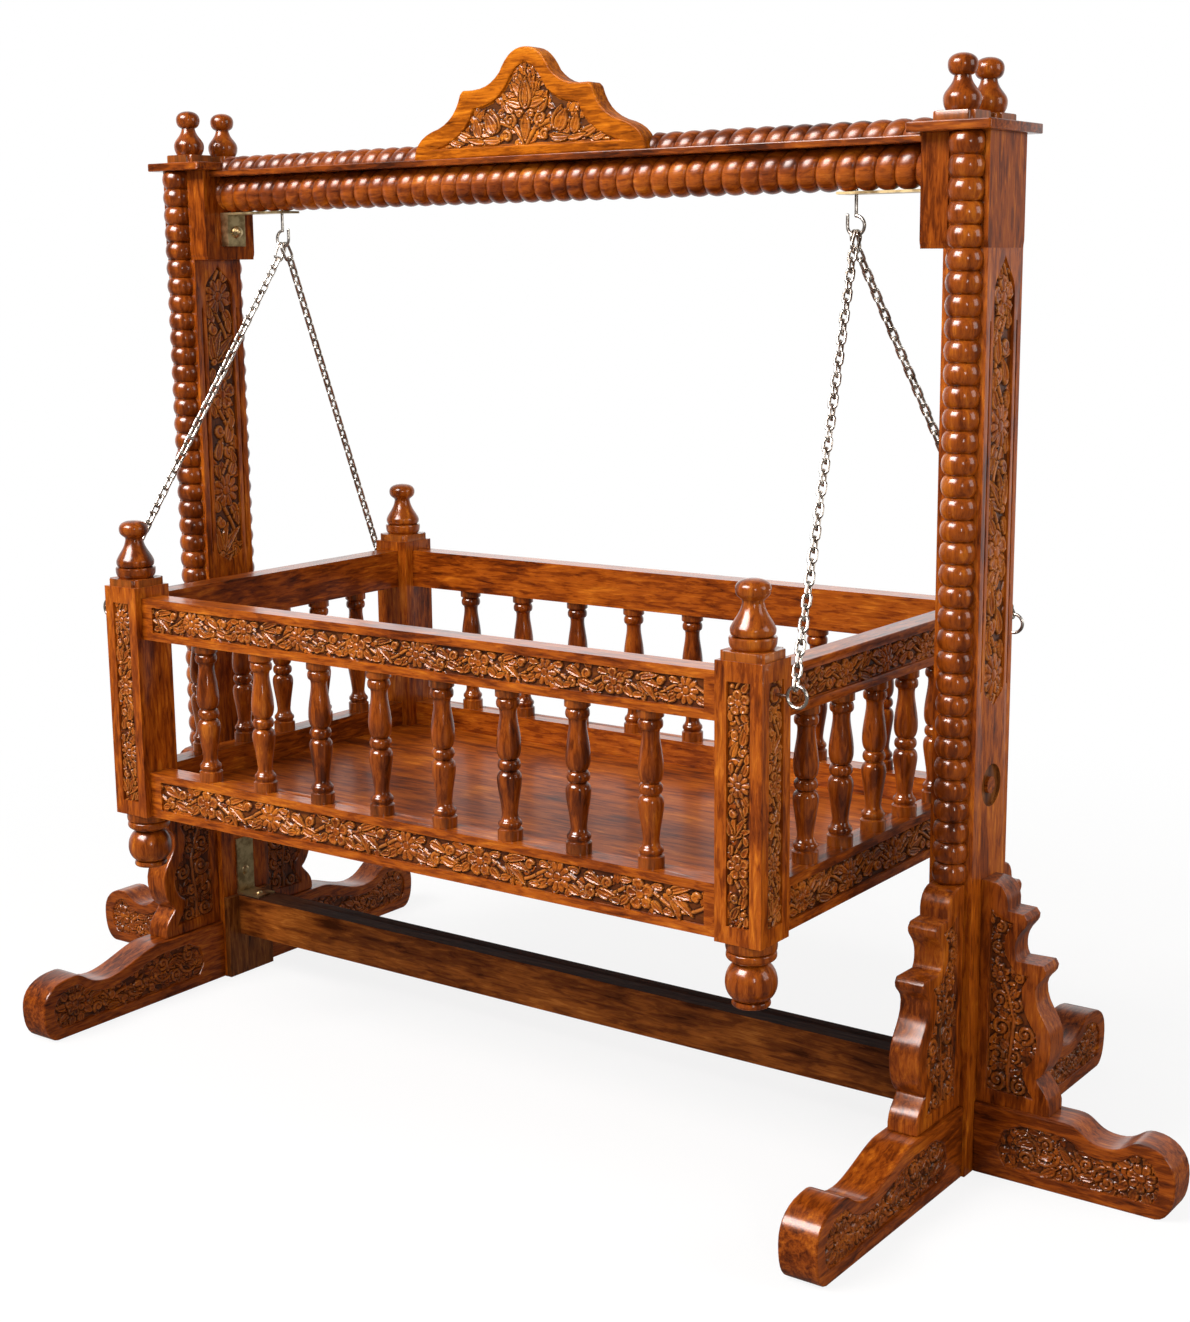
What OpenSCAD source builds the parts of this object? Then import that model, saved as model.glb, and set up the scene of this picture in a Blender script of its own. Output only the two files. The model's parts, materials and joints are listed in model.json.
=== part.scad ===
// Swinging cradle on a stand: a railed crib hangs on four chains from two hooks
// under a rope-turned beam, between two carved posts with three feet each.
// X runs along the cradle, Y from front to back, Z up; the origin is on the
// floor, halfway between the posts. All sizes are in millimetres.

/* [Cradle] */
// Length of the cradle over its corner posts
cradle_l = 1035; // [900:5:1060]
// Depth of the cradle over its corner posts
cradle_d = 606; // [500:2:680]
// Height of the corner posts' lower ends above the floor
cradle_z = 329; // [280:1:380]
// Height of a corner post
corner_h = 316; // [270:1:340]
// Side of a square corner post
corner_s = 60; // [50:1:72]
// Thickness of the rails
rail_t = 34; // [30:1:40]
// How far the rails' outer faces lie behind the corner posts' faces
rail_inset = 10; // [2:0.5:14]
// Height of a top rail
top_rail_h = 56; // [44:1:70]
// Distance from the corner posts' upper ends down to the top rails
top_rail_drop = 14; // [4:1:30]
// Height of a bottom rail
bottom_rail_h = 62; // [50:1:80]
// Length of the rails' tenons
tenon_l = 18; // [10:1:22]
// Thickness of the floor panel
floor_t = 12; // [8:1:16]
// Height of the floor panel's underside above the bottom rails' lower edges
floor_lift = 14; // [8:1:26]
// Depth of the grooves that hold the floor panel
groove_d = 8; // [4:1:10]

/* [Spindles] */
// Radius of a spindle at its square-shouldered ends
spindle_r = 15.4; // [11:0.2:16]
// Spindles on each long side
long_count = 8; // [5:1:10]
// Spindles on each end
end_count = 5; // [3:1:6]
// Radius of the pegs on turned pieces
peg_r = 6; // [4:0.5:8]
// Length of the pegs on turned pieces
peg_l = 10; // [6:1:16]

/* [Turned ends] */
// Height of a bun foot
bun_h = 77; // [55:1:85]
// Largest radius of a bun foot
bun_r = 29.5; // [22:0.5:32]
// Height of a cradle finial above its plate
finial_h = 77; // [60:1:90]
// Largest radius of a cradle finial
finial_r = 26.5; // [20:0.5:27]
// Side of the square plate under a cradle finial
finial_plate_s = 56; // [54:1:60]
// Thickness of the plate under a cradle finial
finial_plate_t = 10; // [5:0.5:12]

/* [Stand] */
// Clear width between the posts
stand_gap = 1178; // [1170:2:1260]
// Thickness of a post, measured along the beam
post_t = 54; // [46:1:60]
// Depth of a post, from front to back
post_d = 90; // [80:1:98]
// Height of the posts' shoulders, where the head blocks sit
head_z = 1076; // [1040:1:1090]
// Height of a head block
head_h = 124; // [118:1:150]
// How far a head block stands in past its post
head_step = 28; // [24:1:36]
// How far a head block stands out at the front and at the back
head_over = 2; // [1:0.5:6]
// Thickness of a cap
cap_t = 11; // [8:0.5:16]
// Overhang of a cap along the beam
cap_over_x = 10; // [4:0.5:14]
// Overhang of a cap at the front and at the back
cap_over_y = 21; // [10:0.5:26]
// Chamfer across a cap's corners
cap_cut = 2; // [1:1:16]
// Distance of a stand finial from the middle of its cap
stand_finial_y = 33; // [28:0.5:38]
// Height of a stand finial above its plate
stand_finial_h = 61; // [48:1:70]
// Largest radius of a stand finial
stand_finial_r = 21; // [15:0.5:23]
// Side of the square plate under a stand finial
stand_plate_s = 50; // [46:1:54]
// Thickness of the plate under a stand finial
stand_plate_t = 11; // [5:0.5:13]
// Thickness of the base blocks at the posts' feet
base_t = 9; // [6:0.5:14]
// Height of a carved panel's lower end on the posts' outer faces
panel_z = 562; // [540:1:600]
// Height of a carved panel's lower end on the posts' inner faces
inner_panel_z = 636; // [600:1:660]
// Height of the carved panels' points
panel_top = 1068; // [1000:1:1072]
// Width of the carved panels on the posts
panel_w = 52; // [36:1:58]
// Depth of the sunk grounds of all carved panels
sink = 4; // [1:0.5:6]
// Height of the round recess on a post's outer face
recess_z = 468; // [440:1:500]
// Radius of the round recess on a post's outer face
recess_r = 25; // [20:0.5:30]

/* [Columns] */
// Bobbins on each turned column
bobbins = 34; // [20:1:40]
// Radius of a bobbin
bobbin_r = 21.5; // [17:0.5:23]
// Radius at the groove between two bobbins
bobbin_groove_r = 15.5; // [11:0.5:16.5]

/* [Feet and brackets] */
// Height of a foot
foot_h = 88; // [82:1:100]
// Thickness of a foot
foot_t = 48; // [40:1:51]
// Reach of a front or back foot from the post
long_foot_reach = 344; // [300:1:400]
// Reach of a side foot from the post
foot_reach = 246; // [220:1:320]
// Lowest height of a front or back foot's hollow
long_dip = 64; // [50:1:70]
// Lowest height of a side foot's hollow
side_dip = 70; // [50:1:76]
// Height of a bracket
bracket_h = 271; // [230:1:290]
// Thickness of a bracket
bracket_t = 38; // [30:1:44]
// Reach of a front or back bracket from the post
long_bracket_reach = 110; // [90:1:120]
// Reach of a side bracket from the post
side_bracket_reach = 92; // [75:1:100]

/* [Beam and stretcher] */
// Radius of the rope-turned beam
rope_r = 26; // [23:0.5:28]
// Radius at the grooves of the rope-turned beam
rope_groove_r = 20.5; // [16:0.5:22]
// Depth planed off the rope's beads, where the board lies on them
rope_plane = 2.5; // [1:0.5:4]
// Length of one twist of the rope
rope_pitch = 25.4; // [20:0.1:32]
// Thickness of the board on the beam
board_t = 8; // [5:0.5:9]
// Depth of the board on the beam
board_d = 72; // [70:1:82]
// Distance from the cap down to the board's upper face
board_drop = 1; // [0.5:0.5:6]
// Radius of the half-round rope on the board
upper_rope_r = 21; // [16:0.5:23]
// Radius at the grooves of the half-round rope
upper_groove_r = 16; // [12:0.5:17]
// Width of the crest
crest_w = 367; // [300:1:420]
// Height of the crest
crest_h = 132; // [100:1:150]
// Thickness of the crest
crest_t = 26; // [18:1:34]
// Distance from the middle of the beam forward to the crest's middle
crest_y = 17; // [0:1:18]
// Thickness of the stretcher
stretcher_t = 44; // [30:1:50]
// Height of the stretcher's lower edge above the floor
stretcher_z = 64; // [30:1:75]
// Height of the stretcher's section
stretcher_h = 61; // [50:1:80]

/* [Hardware] */
// Distance of each hook from the middle of the beam
hook_x = 456; // [430:1:470]
// Diameter of the hooks' and eye screws' wire
hook_wire = 4.2; // [3.5:0.1:4.6]
// Radius of a hook's bowl, to the middle of its wire
bowl_r = 11; // [10:0.5:13]
// Length of a hook's shank between strap and bowl
hook_shank = 24; // [12:0.5:28]
// Length of a hook's straight tip
hook_tip = 12; // [6:0.5:14]
// Radius of an eye screw's ring, to the middle of its wire
eye_r = 12; // [10:0.5:13]
// Distance of an eye's ring from the corner post
eye_stem = 13; // [4:0.5:16]
// Distance from a corner post's upper end down to its eye screw
eye_drop = 37; // [30:1:60]
// Links in each chain, below its large top link
links = 40; // [36:2:42]
// Diameter of the chain's wire
chain_wire = 3.6; // [3:0.1:3.8]
// Width of a chain link, to the middle of its wire
link_w = 9.2; // [8.8:0.1:11]
// Diameter of a top link's wire
top_wire = 4; // [3.6:0.1:4.2]
// Length of a top link, to the middle of its wire
top_link_l = 26; // [24:0.5:30]
// Width of a top link, to the middle of its wire
top_link_w = 14; // [13:0.1:15]
// Thickness of the brass straps
strap_t = 3; // [2:0.5:4]
// Width of the brass straps
strap_w = 34; // [24:1:38]
// Depth of the hanger bracket's boxed leg
leg_d = 14; // [9:1:18]
// Height of the hanger bracket's boxed leg
leg_h = 44; // [34:1:52]
// Length of the level leg of the corner brackets on the stretcher
corner_leg = 46; // [34:1:60]
// Height of the upright leg of the corner brackets on the stretcher
corner_rise = 86; // [40:1:100]

/* [Hidden] */
$fn = 64;
fit = 0.2;           // clearance round tenons, pegs and screws
seat = 0.3;          // clearance between links of a chain
eye_seat = 1;        // clearance of a chain's last link in its eye
hook_seat = 0.8;     // clearance of a top link above its hook's wire
pair_x = 2.6;        // offset of each of the two top links on one hook
bead_power = 1.75;   // 2 makes a bead's side a half ellipse, more makes it squarer
wood = "sienna";
dark_wood = "saddlebrown";
brass = "goldenrod";
nickel = "silver";

// Places on the cradle
corner_x = (cradle_l - corner_s) / 2;
corner_y = (cradle_d - corner_s) / 2;
corner_top = cradle_z + corner_h;
long_clear = cradle_l - 2 * corner_s;
end_clear = cradle_d - 2 * corner_s;
rail_x = cradle_l / 2 - rail_inset - rail_t / 2;
rail_y = cradle_d / 2 - rail_inset - rail_t / 2;
top_rail_z = corner_top - top_rail_drop - top_rail_h;
bottom_rail_top = cradle_z + bottom_rail_h;
spindle_h = top_rail_z - bottom_rail_top;
floor_z = cradle_z + floor_lift;
dowel_r = 8;
dowel_l = 15;
tenon_side = 7;      // a tenon's cheek
tenon_edge = 10;     // a tenon's shoulder above and below
slit_w = 3;          // slits beside the lancet panels
slit_gap = 8;        // from a panel's edge to the middle of its slit
rope_tenon_r = 13;
rope_tenon_l = 22;
peg_head_r = 10;     // head of the peg in a post's round recess
corner_rim = 15;     // rim beside the sunk fields of the corner posts
corner_low = 20;     // rim below them
corner_high = 22;    // rim above them
rail_rim = 11;       // rim above and below the sunk fields of the rails
screw_l = 24;        // depth of an eye screw in its corner post

// Places on the stand
post_x = (stand_gap + post_t) / 2;
head_t = post_t + head_step;
head_x = stand_gap / 2 - head_step + head_t / 2;
head_in = stand_gap / 2 - head_step;
head_top = head_z + head_h;
head_d = post_d + 2 * head_over;
cap_w = head_t + 2 * cap_over_x;
cap_d = head_d + 2 * cap_over_y;
cap_top = head_top + cap_t;
column_z = foot_h + bracket_h;
column_h = head_top - column_z;
base_x = (stand_gap - base_t) / 2;
board_top = head_top - board_drop;
rope_z = board_top - board_t - rope_r + rope_plane;
rope_l = 2 * head_in;
upper_rope_l = head_in - cap_over_x - fit - crest_w / 2;
stretcher_top = stretcher_z + stretcher_h;
base_in = stand_gap / 2 - base_t;
strap_z = rope_z - rope_r - strap_t;

// Places on the chains: a link hangs from pivot to knee, the chain from knee to eye
pivot_z = strap_z - hook_shank - 2 * bowl_r;
eye_x = cradle_l / 2 + eye_stem + eye_r;
eye_z = corner_top - eye_drop;
top_hold = hook_wire / 2 + top_wire / 2 + hook_seat;
knee = top_link_l - top_hold;
splay = atan2(corner_y, pivot_z - eye_z - eye_r);
knee_y = knee * sin(splay);
knee_z = pivot_z - knee * cos(splay);
lean = atan2(eye_x - hook_x, knee_z - eye_z);
grip_x = eye_x - eye_r * sin(lean);
grip_z = eye_z + eye_r * cos(lean);
run_y = corner_y - knee_y;
run_z = knee_z - grip_z;
knee_hold = (top_wire + chain_wire) / 2 + seat;
eye_hold = (hook_wire + chain_wire) / 2 + eye_seat;

// ---- shared shapes ----

function bezier(a, b, c, d, n = 8) = [for (i = [1:n]) let (t = i / n, s = 1 - t)
    s * s * s * a + 3 * s * s * t * b + 3 * s * t * t * c + t * t * t * d];

function stretch(points, w, h) = [for (p = points) [p[0] * w, p[1] * h]];

module block(size) {
    translate([-size[0] / 2, -size[1] / 2, 0]) cube(size);
}

// Four copies, one at each corner of a rectangle
module corners(x, y) {
    for (sx = [-1, 1], sy = [-1, 1]) translate([sx * x, sy * y, 0]) children();
}

// An outline in reach and height, stood up facing +X and centred in Y
module standing(thickness) {
    translate([0, thickness / 2, 0]) rotate([90, 0, 0]) linear_extrude(thickness) children();
}

// A turned piece: radii and heights as shares of its largest radius and height
module turned(profile, r, h, pegs = []) {
    outline = concat([[0, 0]], [for (p = profile) [p[0] * r, p[1] * h]], [[0, h]]);
    rotate_extrude() polygon(outline);
    for (p = pegs) translate([0, 0, p[0]]) cylinder(r = p[1], h = p[2]);
}

// Half profile of one bead, from groove to groove, as points [radius, height]
function bead(r, groove, p, steps = 8) = [for (i = [0:steps]) let (u = 2 * i / steps - 1)
    [groove + (r - groove) * pow(1 - pow(abs(u), bead_power), 1 / bead_power), (i / steps) * p]];

function beads(r, groove, p, count) = [for (k = [0:count - 1], q = bead(r, groove, p))
    if (k == 0 || q[1] > 0) [q[0], q[1] + k * p]];

module beaded(r, groove, length, count, turn = 360) {
    rotate_extrude(angle = turn) polygon(concat([[0, 0]],
        beads(r, groove, length / count, count), [[0, length]]));
}

// ---- profiles: shares of radius and height, from the bottom up ----

SPINDLE = concat([[1, 0], [1, 0.07], [0.84, 0.08], [0.84, 0.09]],
    bezier([0.84, 0.09], [0.98, 0.095], [0.98, 0.12], [0.8, 0.13], 6),
    bezier([0.8, 0.13], [0.62, 0.15], [0.6, 0.17], [0.66, 0.2], 4),
    bezier([0.66, 0.2], [0.72, 0.26], [0.98, 0.36], [0.98, 0.4], 6),
    bezier([0.98, 0.4], [0.98, 0.44], [0.8, 0.45], [0.63, 0.46], 5),
    bezier([0.63, 0.46], [0.99, 0.47], [0.99, 0.525], [0.63, 0.535], 6),
    bezier([0.63, 0.535], [0.8, 0.54], [0.96, 0.57], [0.96, 0.62], 5),
    bezier([0.96, 0.62], [0.96, 0.7], [0.68, 0.78], [0.67, 0.84], 6),
    bezier([0.67, 0.84], [0.67, 0.865], [0.72, 0.87], [0.78, 0.874], 3),
    bezier([0.78, 0.874], [0.98, 0.88], [0.98, 0.925], [0.8, 0.935], 6),
    [[0.84, 0.94], [1, 0.95], [1, 1]]);

BUN = concat(bezier([0.6, 0], [0.74, 0], [0.78, 0.04], [0.72, 0.09], 5),
    bezier([0.62, 0.1], [0.85, 0.14], [1, 0.24], [1, 0.36], 7),
    bezier([1, 0.36], [1, 0.5], [0.85, 0.6], [0.64, 0.66], 7),
    bezier([0.64, 0.66], [0.84, 0.7], [0.97, 0.72], [0.97, 0.77], 5),
    bezier([0.97, 0.77], [0.97, 0.83], [0.94, 0.83], [0.86, 0.84], 4),
    [[0.97, 0.86], [0.99, 0.9], [0.99, 1]]);

FINIAL = concat([[0.84, 0]],
    bezier([0.84, 0], [0.98, 0.04], [1, 0.08], [1, 0.16], 5), [[0.98, 0.18], [0.8, 0.19]],
    bezier([0.8, 0.19], [0.94, 0.2], [0.96, 0.25], [0.94, 0.3], 5),
    bezier([0.94, 0.3], [0.82, 0.42], [0.5, 0.5], [0.44, 0.68], 8),
    [[0.46, 0.7]],
    bezier([0.46, 0.7], [0.6, 0.74], [0.74, 0.76], [0.74, 0.85], 6),
    bezier([0.74, 0.85], [0.74, 0.95], [0.46, 1], [0.02, 1], 8));

STAND_FINIAL = concat([[0.8, 0]],
    bezier([0.8, 0], [0.95, 0.07], [1, 0.13], [1, 0.21], 6),
    bezier([1, 0.21], [1, 0.36], [0.5, 0.42], [0.44, 0.61], 8),
    bezier([0.44, 0.61], [0.66, 0.63], [0.79, 0.7], [0.79, 0.8], 6),
    bezier([0.79, 0.8], [0.79, 0.93], [0.46, 1], [0.02, 1], 8));

// ---- stand ----

LANCET = concat([[0.5, 0.05], [0.5, 0.92]],
    bezier([0.5, 0.92], [0.5, 0.955], [0.2, 0.965], [0, 1], 6),
    bezier([0, 1], [-0.2, 0.965], [-0.5, 0.955], [-0.5, 0.92], 6),
    [[-0.5, 0.05]],
    bezier([-0.5, 0.05], [-0.5, 0.02], [-0.2, 0.02], [0, 0], 5),
    bezier([0, 0], [0.2, 0.02], [0.5, 0.02], [0.5, 0.05], 5));

// A lancet panel with a slit on each side, sunk into the face at +X, with its foot at the height z
module lancet_cut(face_x, z) {
    h = panel_top - z;
    translate([face_x - sink, 0, z]) rotate([90, 0, 90])
        linear_extrude(sink + 1) polygon(stretch(LANCET, panel_w, h));
    for (s = [-1, 1]) translate([face_x, s * (panel_w / 2 + slit_gap), z + 0.04 * h])
        block([sink, slit_w, 0.82 * h]);
}

module post() {
    color(wood) difference() {
        union() {
            translate([post_x, 0, 0]) block([post_t, post_d, head_z]);
            translate([post_x, 0, head_z]) block([post_t - 20, post_d - 30, dowel_l * 2]);
        }
        lancet_cut(post_x + post_t / 2, panel_z);
        mirror([1, 0, 0]) lancet_cut(-(post_x - post_t / 2), inner_panel_z);
        translate([post_x + post_t / 2 - sink, 0, recess_z]) rotate([0, 90, 0])
            cylinder(r = recess_r, h = sink + 1);
        translate([post_x + post_t / 2 - sink - dowel_l, 0, recess_z]) rotate([0, 90, 0])
            cylinder(r = peg_r + fit, h = dowel_l + 1);
        stretcher_tenon(fit);
        bolt_shafts(fit);
    }
}

module head_block() {
    color(wood) translate([head_x, 0, head_z]) difference() {
        translate([-head_t / 2, 0, 0]) rotate([90, 0, 90]) linear_extrude(head_t)
            polygon(concat([[-post_d / 2, 0]],
                bezier([-post_d / 2, 0], [-post_d / 2, 6], [-head_d / 2, 4], [-head_d / 2, 12]),
                [[-head_d / 2, head_h], [head_d / 2, head_h], [head_d / 2, 12]],
                bezier([head_d / 2, 12], [head_d / 2, 4], [post_d / 2, 6], [post_d / 2, 0])));
        translate([post_x - head_x, 0, -1])
            block([post_t - 20 + 2 * fit, post_d - 30 + 2 * fit, dowel_l * 2 + 1 + fit]);
        for (s = [-1, 1]) translate([post_x - head_x, s * (post_d / 2 + head_over), -1])
            block([2 * (bobbin_r + fit), 2 * head_over, head_h + 2]);
        translate([-head_t / 2 - 1, 0, rope_z - head_z]) rotate([0, 90, 0])
            cylinder(r = rope_tenon_r + fit, h = rope_tenon_l + 1 + fit);
        translate([-head_x, 0, -head_z]) bolt_shafts(fit);
    }
}

module base_block() {
    color(dark_wood) difference() {
        translate([base_x, 0, 0]) block([base_t, post_d, stretcher_top]);
        stretcher_tenon(fit);
    }
}

module cap() {
    x = cap_w / 2;
    y = cap_d / 2;
    k = cap_cut;
    color(dark_wood) translate([head_x, 0, head_top]) linear_extrude(cap_t)
        polygon([[x, k - y], [x, y - k], [x - k, y], [k - x, y],
            [-x, y - k], [-x, k - y], [k - x, -y], [x - k, -y]]);
}

module column() {
    color(wood) translate([post_x, -post_d / 2, column_z]) rotate([0, 0, 180])
        beaded(bobbin_r, bobbin_groove_r, column_h, bobbins, 180);
}

// A foot's side view: a curled toe, a hollow and a level top under the bracket
function foot_outline(reach, dip, shoulder) = let (toe = foot_h * 0.97, tip = reach * 0.83,
    low = reach * 0.66, hook = foot_h / 2)
    concat([[0, 0], [reach - 22, 0]],
        bezier([reach - 22, 0], [reach - 8, 2], [reach, 18], [reach, hook], 7),
        bezier([reach, hook], [reach, hook + 26], [reach - 18, toe], [tip, toe], 8),
        bezier([tip, toe], [tip - 16, toe], [low + (tip - low) * 0.6, dip], [low, dip], 8),
        bezier([low, dip], [low - 30, dip], [shoulder + 24, foot_h], [shoulder, foot_h], 10),
        [[0, foot_h]]);

function foot_panel(reach, dip, shoulder) = let (toe = foot_h * 0.97, tip = reach * 0.83,
    low = reach * 0.66, edge = 16, inner = reach * 0.12)
    concat([[inner, 34], [inner + 12, edge], [reach - 30, edge]],
        bezier([reach - 30, edge], [reach - edge - 3, 20], [reach - edge - 2, 42],
            [reach - 20, foot_h * 0.55], 5),
        bezier([reach - 20, foot_h * 0.55], [reach - 26, toe - edge], [tip, toe - 12],
            [tip - 8, toe - edge], 6),
        bezier([tip - 8, toe - edge], [tip - 24, dip - edge], [low, dip - edge], [low - 6, dip - edge], 6),
        bezier([low - 6, dip - edge], [low - 30, dip - edge], [shoulder + 16, foot_h - 17],
            [shoulder - 12, foot_h - 17], 6),
        [[inner + 30, foot_h - 17], [inner + 8, foot_h - 28]]);

module foot(reach, dip, shoulder) {
    color(wood) difference() {
        standing(foot_t) polygon(foot_outline(reach, dip, shoulder));
        for (s = [-1, 1]) translate([0, s * (foot_t / 2), 0])
            standing(2 * sink) polygon(foot_panel(reach, dip, shoulder));
    }
}

module side_foot() {
    foot(foot_reach, side_dip, side_bracket_reach + 20);
}

module long_foot() {
    foot(long_foot_reach, long_dip, long_bracket_reach + 20);
}

// A bracket's side view: an S-curve with two shelves and a lobe on top
BRACKET = concat([[0, 0], [1, 0], [1, 0.04]],
    bezier([1, 0.04], [0.98, 0.1], [0.86, 0.12], [0.81, 0.155], 5),
    bezier([0.81, 0.155], [0.95, 0.19], [1, 0.26], [0.99, 0.335], 6),
    bezier([0.99, 0.335], [0.96, 0.43], [0.76, 0.45], [0.76, 0.55], 7),
    bezier([0.76, 0.55], [0.77, 0.6], [0.9, 0.6], [0.9, 0.645], 5),
    [[0.86, 0.668], [0.51, 0.665]],
    bezier([0.51, 0.665], [0.46, 0.69], [0.46, 0.74], [0.5, 0.77], 5),
    bezier([0.5, 0.77], [0.55, 0.81], [0.64, 0.82], [0.63, 0.855], 5),
    [[0.58, 0.878], [0.36, 0.88]],
    bezier([0.36, 0.88], [0.38, 0.95], [0.3, 1], [0.12, 1], 6), [[0, 1]]);

BRACKET_PANEL = concat([[0.14, 0.07], [0.78, 0.06]],
    bezier([0.78, 0.06], [0.72, 0.1], [0.63, 0.13], [0.62, 0.19], 5),
    bezier([0.62, 0.19], [0.76, 0.21], [0.84, 0.3], [0.78, 0.36], 6),
    bezier([0.78, 0.36], [0.66, 0.42], [0.58, 0.46], [0.58, 0.55], 6),
    [[0.66, 0.61], [0.52, 0.61]],
    bezier([0.52, 0.61], [0.38, 0.65], [0.3, 0.7], [0.34, 0.77], 5),
    [[0.45, 0.83], [0.28, 0.84], [0.14, 0.88]]);

module bracket(reach) {
    color(wood) translate([0, 0, foot_h]) difference() {
        standing(bracket_t) polygon(stretch(BRACKET, reach, bracket_h));
        for (s = [-1, 1]) translate([0, s * (bracket_t / 2), 0])
            standing(2 * sink) polygon(stretch(BRACKET_PANEL, reach, bracket_h));
    }
}

module side_bracket() {
    bracket(side_bracket_reach);
}

module long_bracket() {
    bracket(long_bracket_reach);
}

// Puts a foot or bracket that faces +X on the front of the right post
module on_front() {
    translate([post_x, -post_d / 2, 0]) rotate([0, 0, -90]) children();
}

module on_side() {
    translate([post_x + post_t / 2, 0, 0]) children();
}

module notched_plate(side, t) {
    n = side * 0.12;
    difference() {
        block([side, side, t]);
        corners(side / 2, side / 2) translate([0, 0, -1]) cylinder(r = n, h = t + 2);
    }
}

module stand_finials() {
    color(dark_wood) for (s = [-1, 1]) translate([s * head_x, 0, 0]) for (f = [-1, 1]) {
        translate([0, f * stand_finial_y, cap_top]) {
            notched_plate(stand_plate_s, stand_plate_t);
            translate([0, 0, stand_plate_t]) turned(STAND_FINIAL, stand_finial_r, stand_finial_h);
        }
    }
}

module post_pegs() {
    color(dark_wood) both_ends()
        translate([post_x + post_t / 2 - sink - dowel_l + fit, 0, recess_z]) rotate([0, 90, 0]) {
            cylinder(r = peg_r, h = dowel_l);
            translate([0, 0, dowel_l - fit]) cylinder(r = peg_head_r, h = sink);
        }
}

module beam_rope() {
    count = round(rope_l / rope_pitch);
    color(wood) translate([-rope_l / 2, 0, rope_z]) difference() {
        rotate([0, 90, 0]) union() {
            beaded(rope_r, rope_groove_r, rope_l, count);
            translate([0, 0, -rope_tenon_l]) cylinder(r = rope_tenon_r, h = rope_l + 2 * rope_tenon_l);
        }
        for (x = [rope_l / 2 - hook_x, rope_l / 2 + hook_x]) translate([x, 0, -rope_r - 1])
            cylinder(r = hook_wire / 2 + fit, h = rope_r + 1);
        translate([rope_l / 2, 0, rope_r - rope_plane]) block([rope_l + 1, 2 * rope_r, rope_plane + 1]);
    }
}

module beam_board() {
    color(dark_wood) translate([0, 0, board_top - board_t]) block([rope_l, board_d, board_t]);
}

module upper_rope() {
    count = round(upper_rope_l / rope_pitch);
    color(wood) both_ends() translate([crest_w / 2, 0, board_top])
        rotate([0, 90, 0]) rotate([0, 0, 90])
            beaded(upper_rope_r, upper_groove_r, upper_rope_l, count, 180);
}

// Right half of the crest's outline, as shares of its half width and height
CREST_HALF = concat([[1, 0], [1, 0.03]],
    bezier([1, 0.03], [0.98, 0.18], [0.9, 0.25], [0.78, 0.29], 6),
    bezier([0.78, 0.29], [0.66, 0.35], [0.6, 0.46], [0.57, 0.6], 6),
    [[0.545, 0.635]],
    bezier([0.545, 0.635], [0.36, 0.62], [0.29, 0.68], [0.22, 0.78], 6),
    bezier([0.22, 0.78], [0.16, 0.93], [0.1, 1], [0, 1], 7));

function mirrored(half) = concat(half, [for (i = [len(half) - 2:-1:0]) [-half[i][0], half[i][1]]]);

CREST_PANEL_HALF = concat([[0.78, 0.1]],
    bezier([0.78, 0.1], [0.62, 0.16], [0.5, 0.26], [0.45, 0.46], 5),
    bezier([0.45, 0.46], [0.3, 0.47], [0.2, 0.56], [0.15, 0.68], 5),
    bezier([0.15, 0.68], [0.1, 0.8], [0.05, 0.84], [0, 0.86], 4));

module crest() {
    color(wood) translate([0, -crest_y, board_top]) difference() {
        standing(crest_t) polygon(stretch(mirrored(CREST_HALF), crest_w / 2, crest_h));
        translate([0, -crest_t / 2, 0]) standing(2 * sink)
            polygon(stretch(mirrored(CREST_PANEL_HALF), crest_w / 2, crest_h));
    }
}

// The stretcher's tenon through the right base block into the post
module stretcher_tenon(gap = 0) {
    translate([base_in - 1, -stretcher_t / 2 + tenon_side - gap, stretcher_z + tenon_edge - gap])
        cube([base_t + dowel_l + 1 + gap, stretcher_t - 2 * tenon_side + 2 * gap,
            stretcher_h - 2 * tenon_edge + 2 * gap]);
}

module stretcher() {
    color(wood) difference() {
        union() {
            translate([0, 0, stretcher_z]) block([2 * base_in, stretcher_t, stretcher_h]);
            both_ends() stretcher_tenon();
        }
        both_ends() bolt_shafts(fit);
    }
}

// ---- hardware ----

// The right end's screws: [point, turn, shaft radius, shaft length, head radius, head height]
BOLTS = [
    [[head_in - leg_d, 0, strap_z - leg_h * 0.55], [0, 90, 0], 3.5, leg_d + 25, 9, 9],
    [[stand_gap / 2 - strap_t, 0, stretcher_top + corner_rise * 0.4], [0, 90, 0], 2, 18, 7, 2.5],
    [[stand_gap / 2 - corner_leg * 0.65, 0, stretcher_top + strap_t], [0, 180, 0], 2, 18, 5, 2.5]];

module bolt_shafts(gap = 0) {
    for (b = BOLTS) translate(b[0]) rotate(b[1]) cylinder(r = b[2] + gap, h = b[3] + gap);
}

module bracket_bolts() {
    color(brass) both_ends() for (b = BOLTS) translate(b[0]) rotate(b[1]) {
        cylinder(r = b[2], h = b[3]);
        rotate([180, 0, 0]) rotate_extrude()
            polygon([[0, 0], [b[4], 0], [b[4] * 0.92, b[5] * 0.3], [b[4] * 0.55, b[5] * 0.8], [0, b[5]]]);
    }
}

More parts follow.
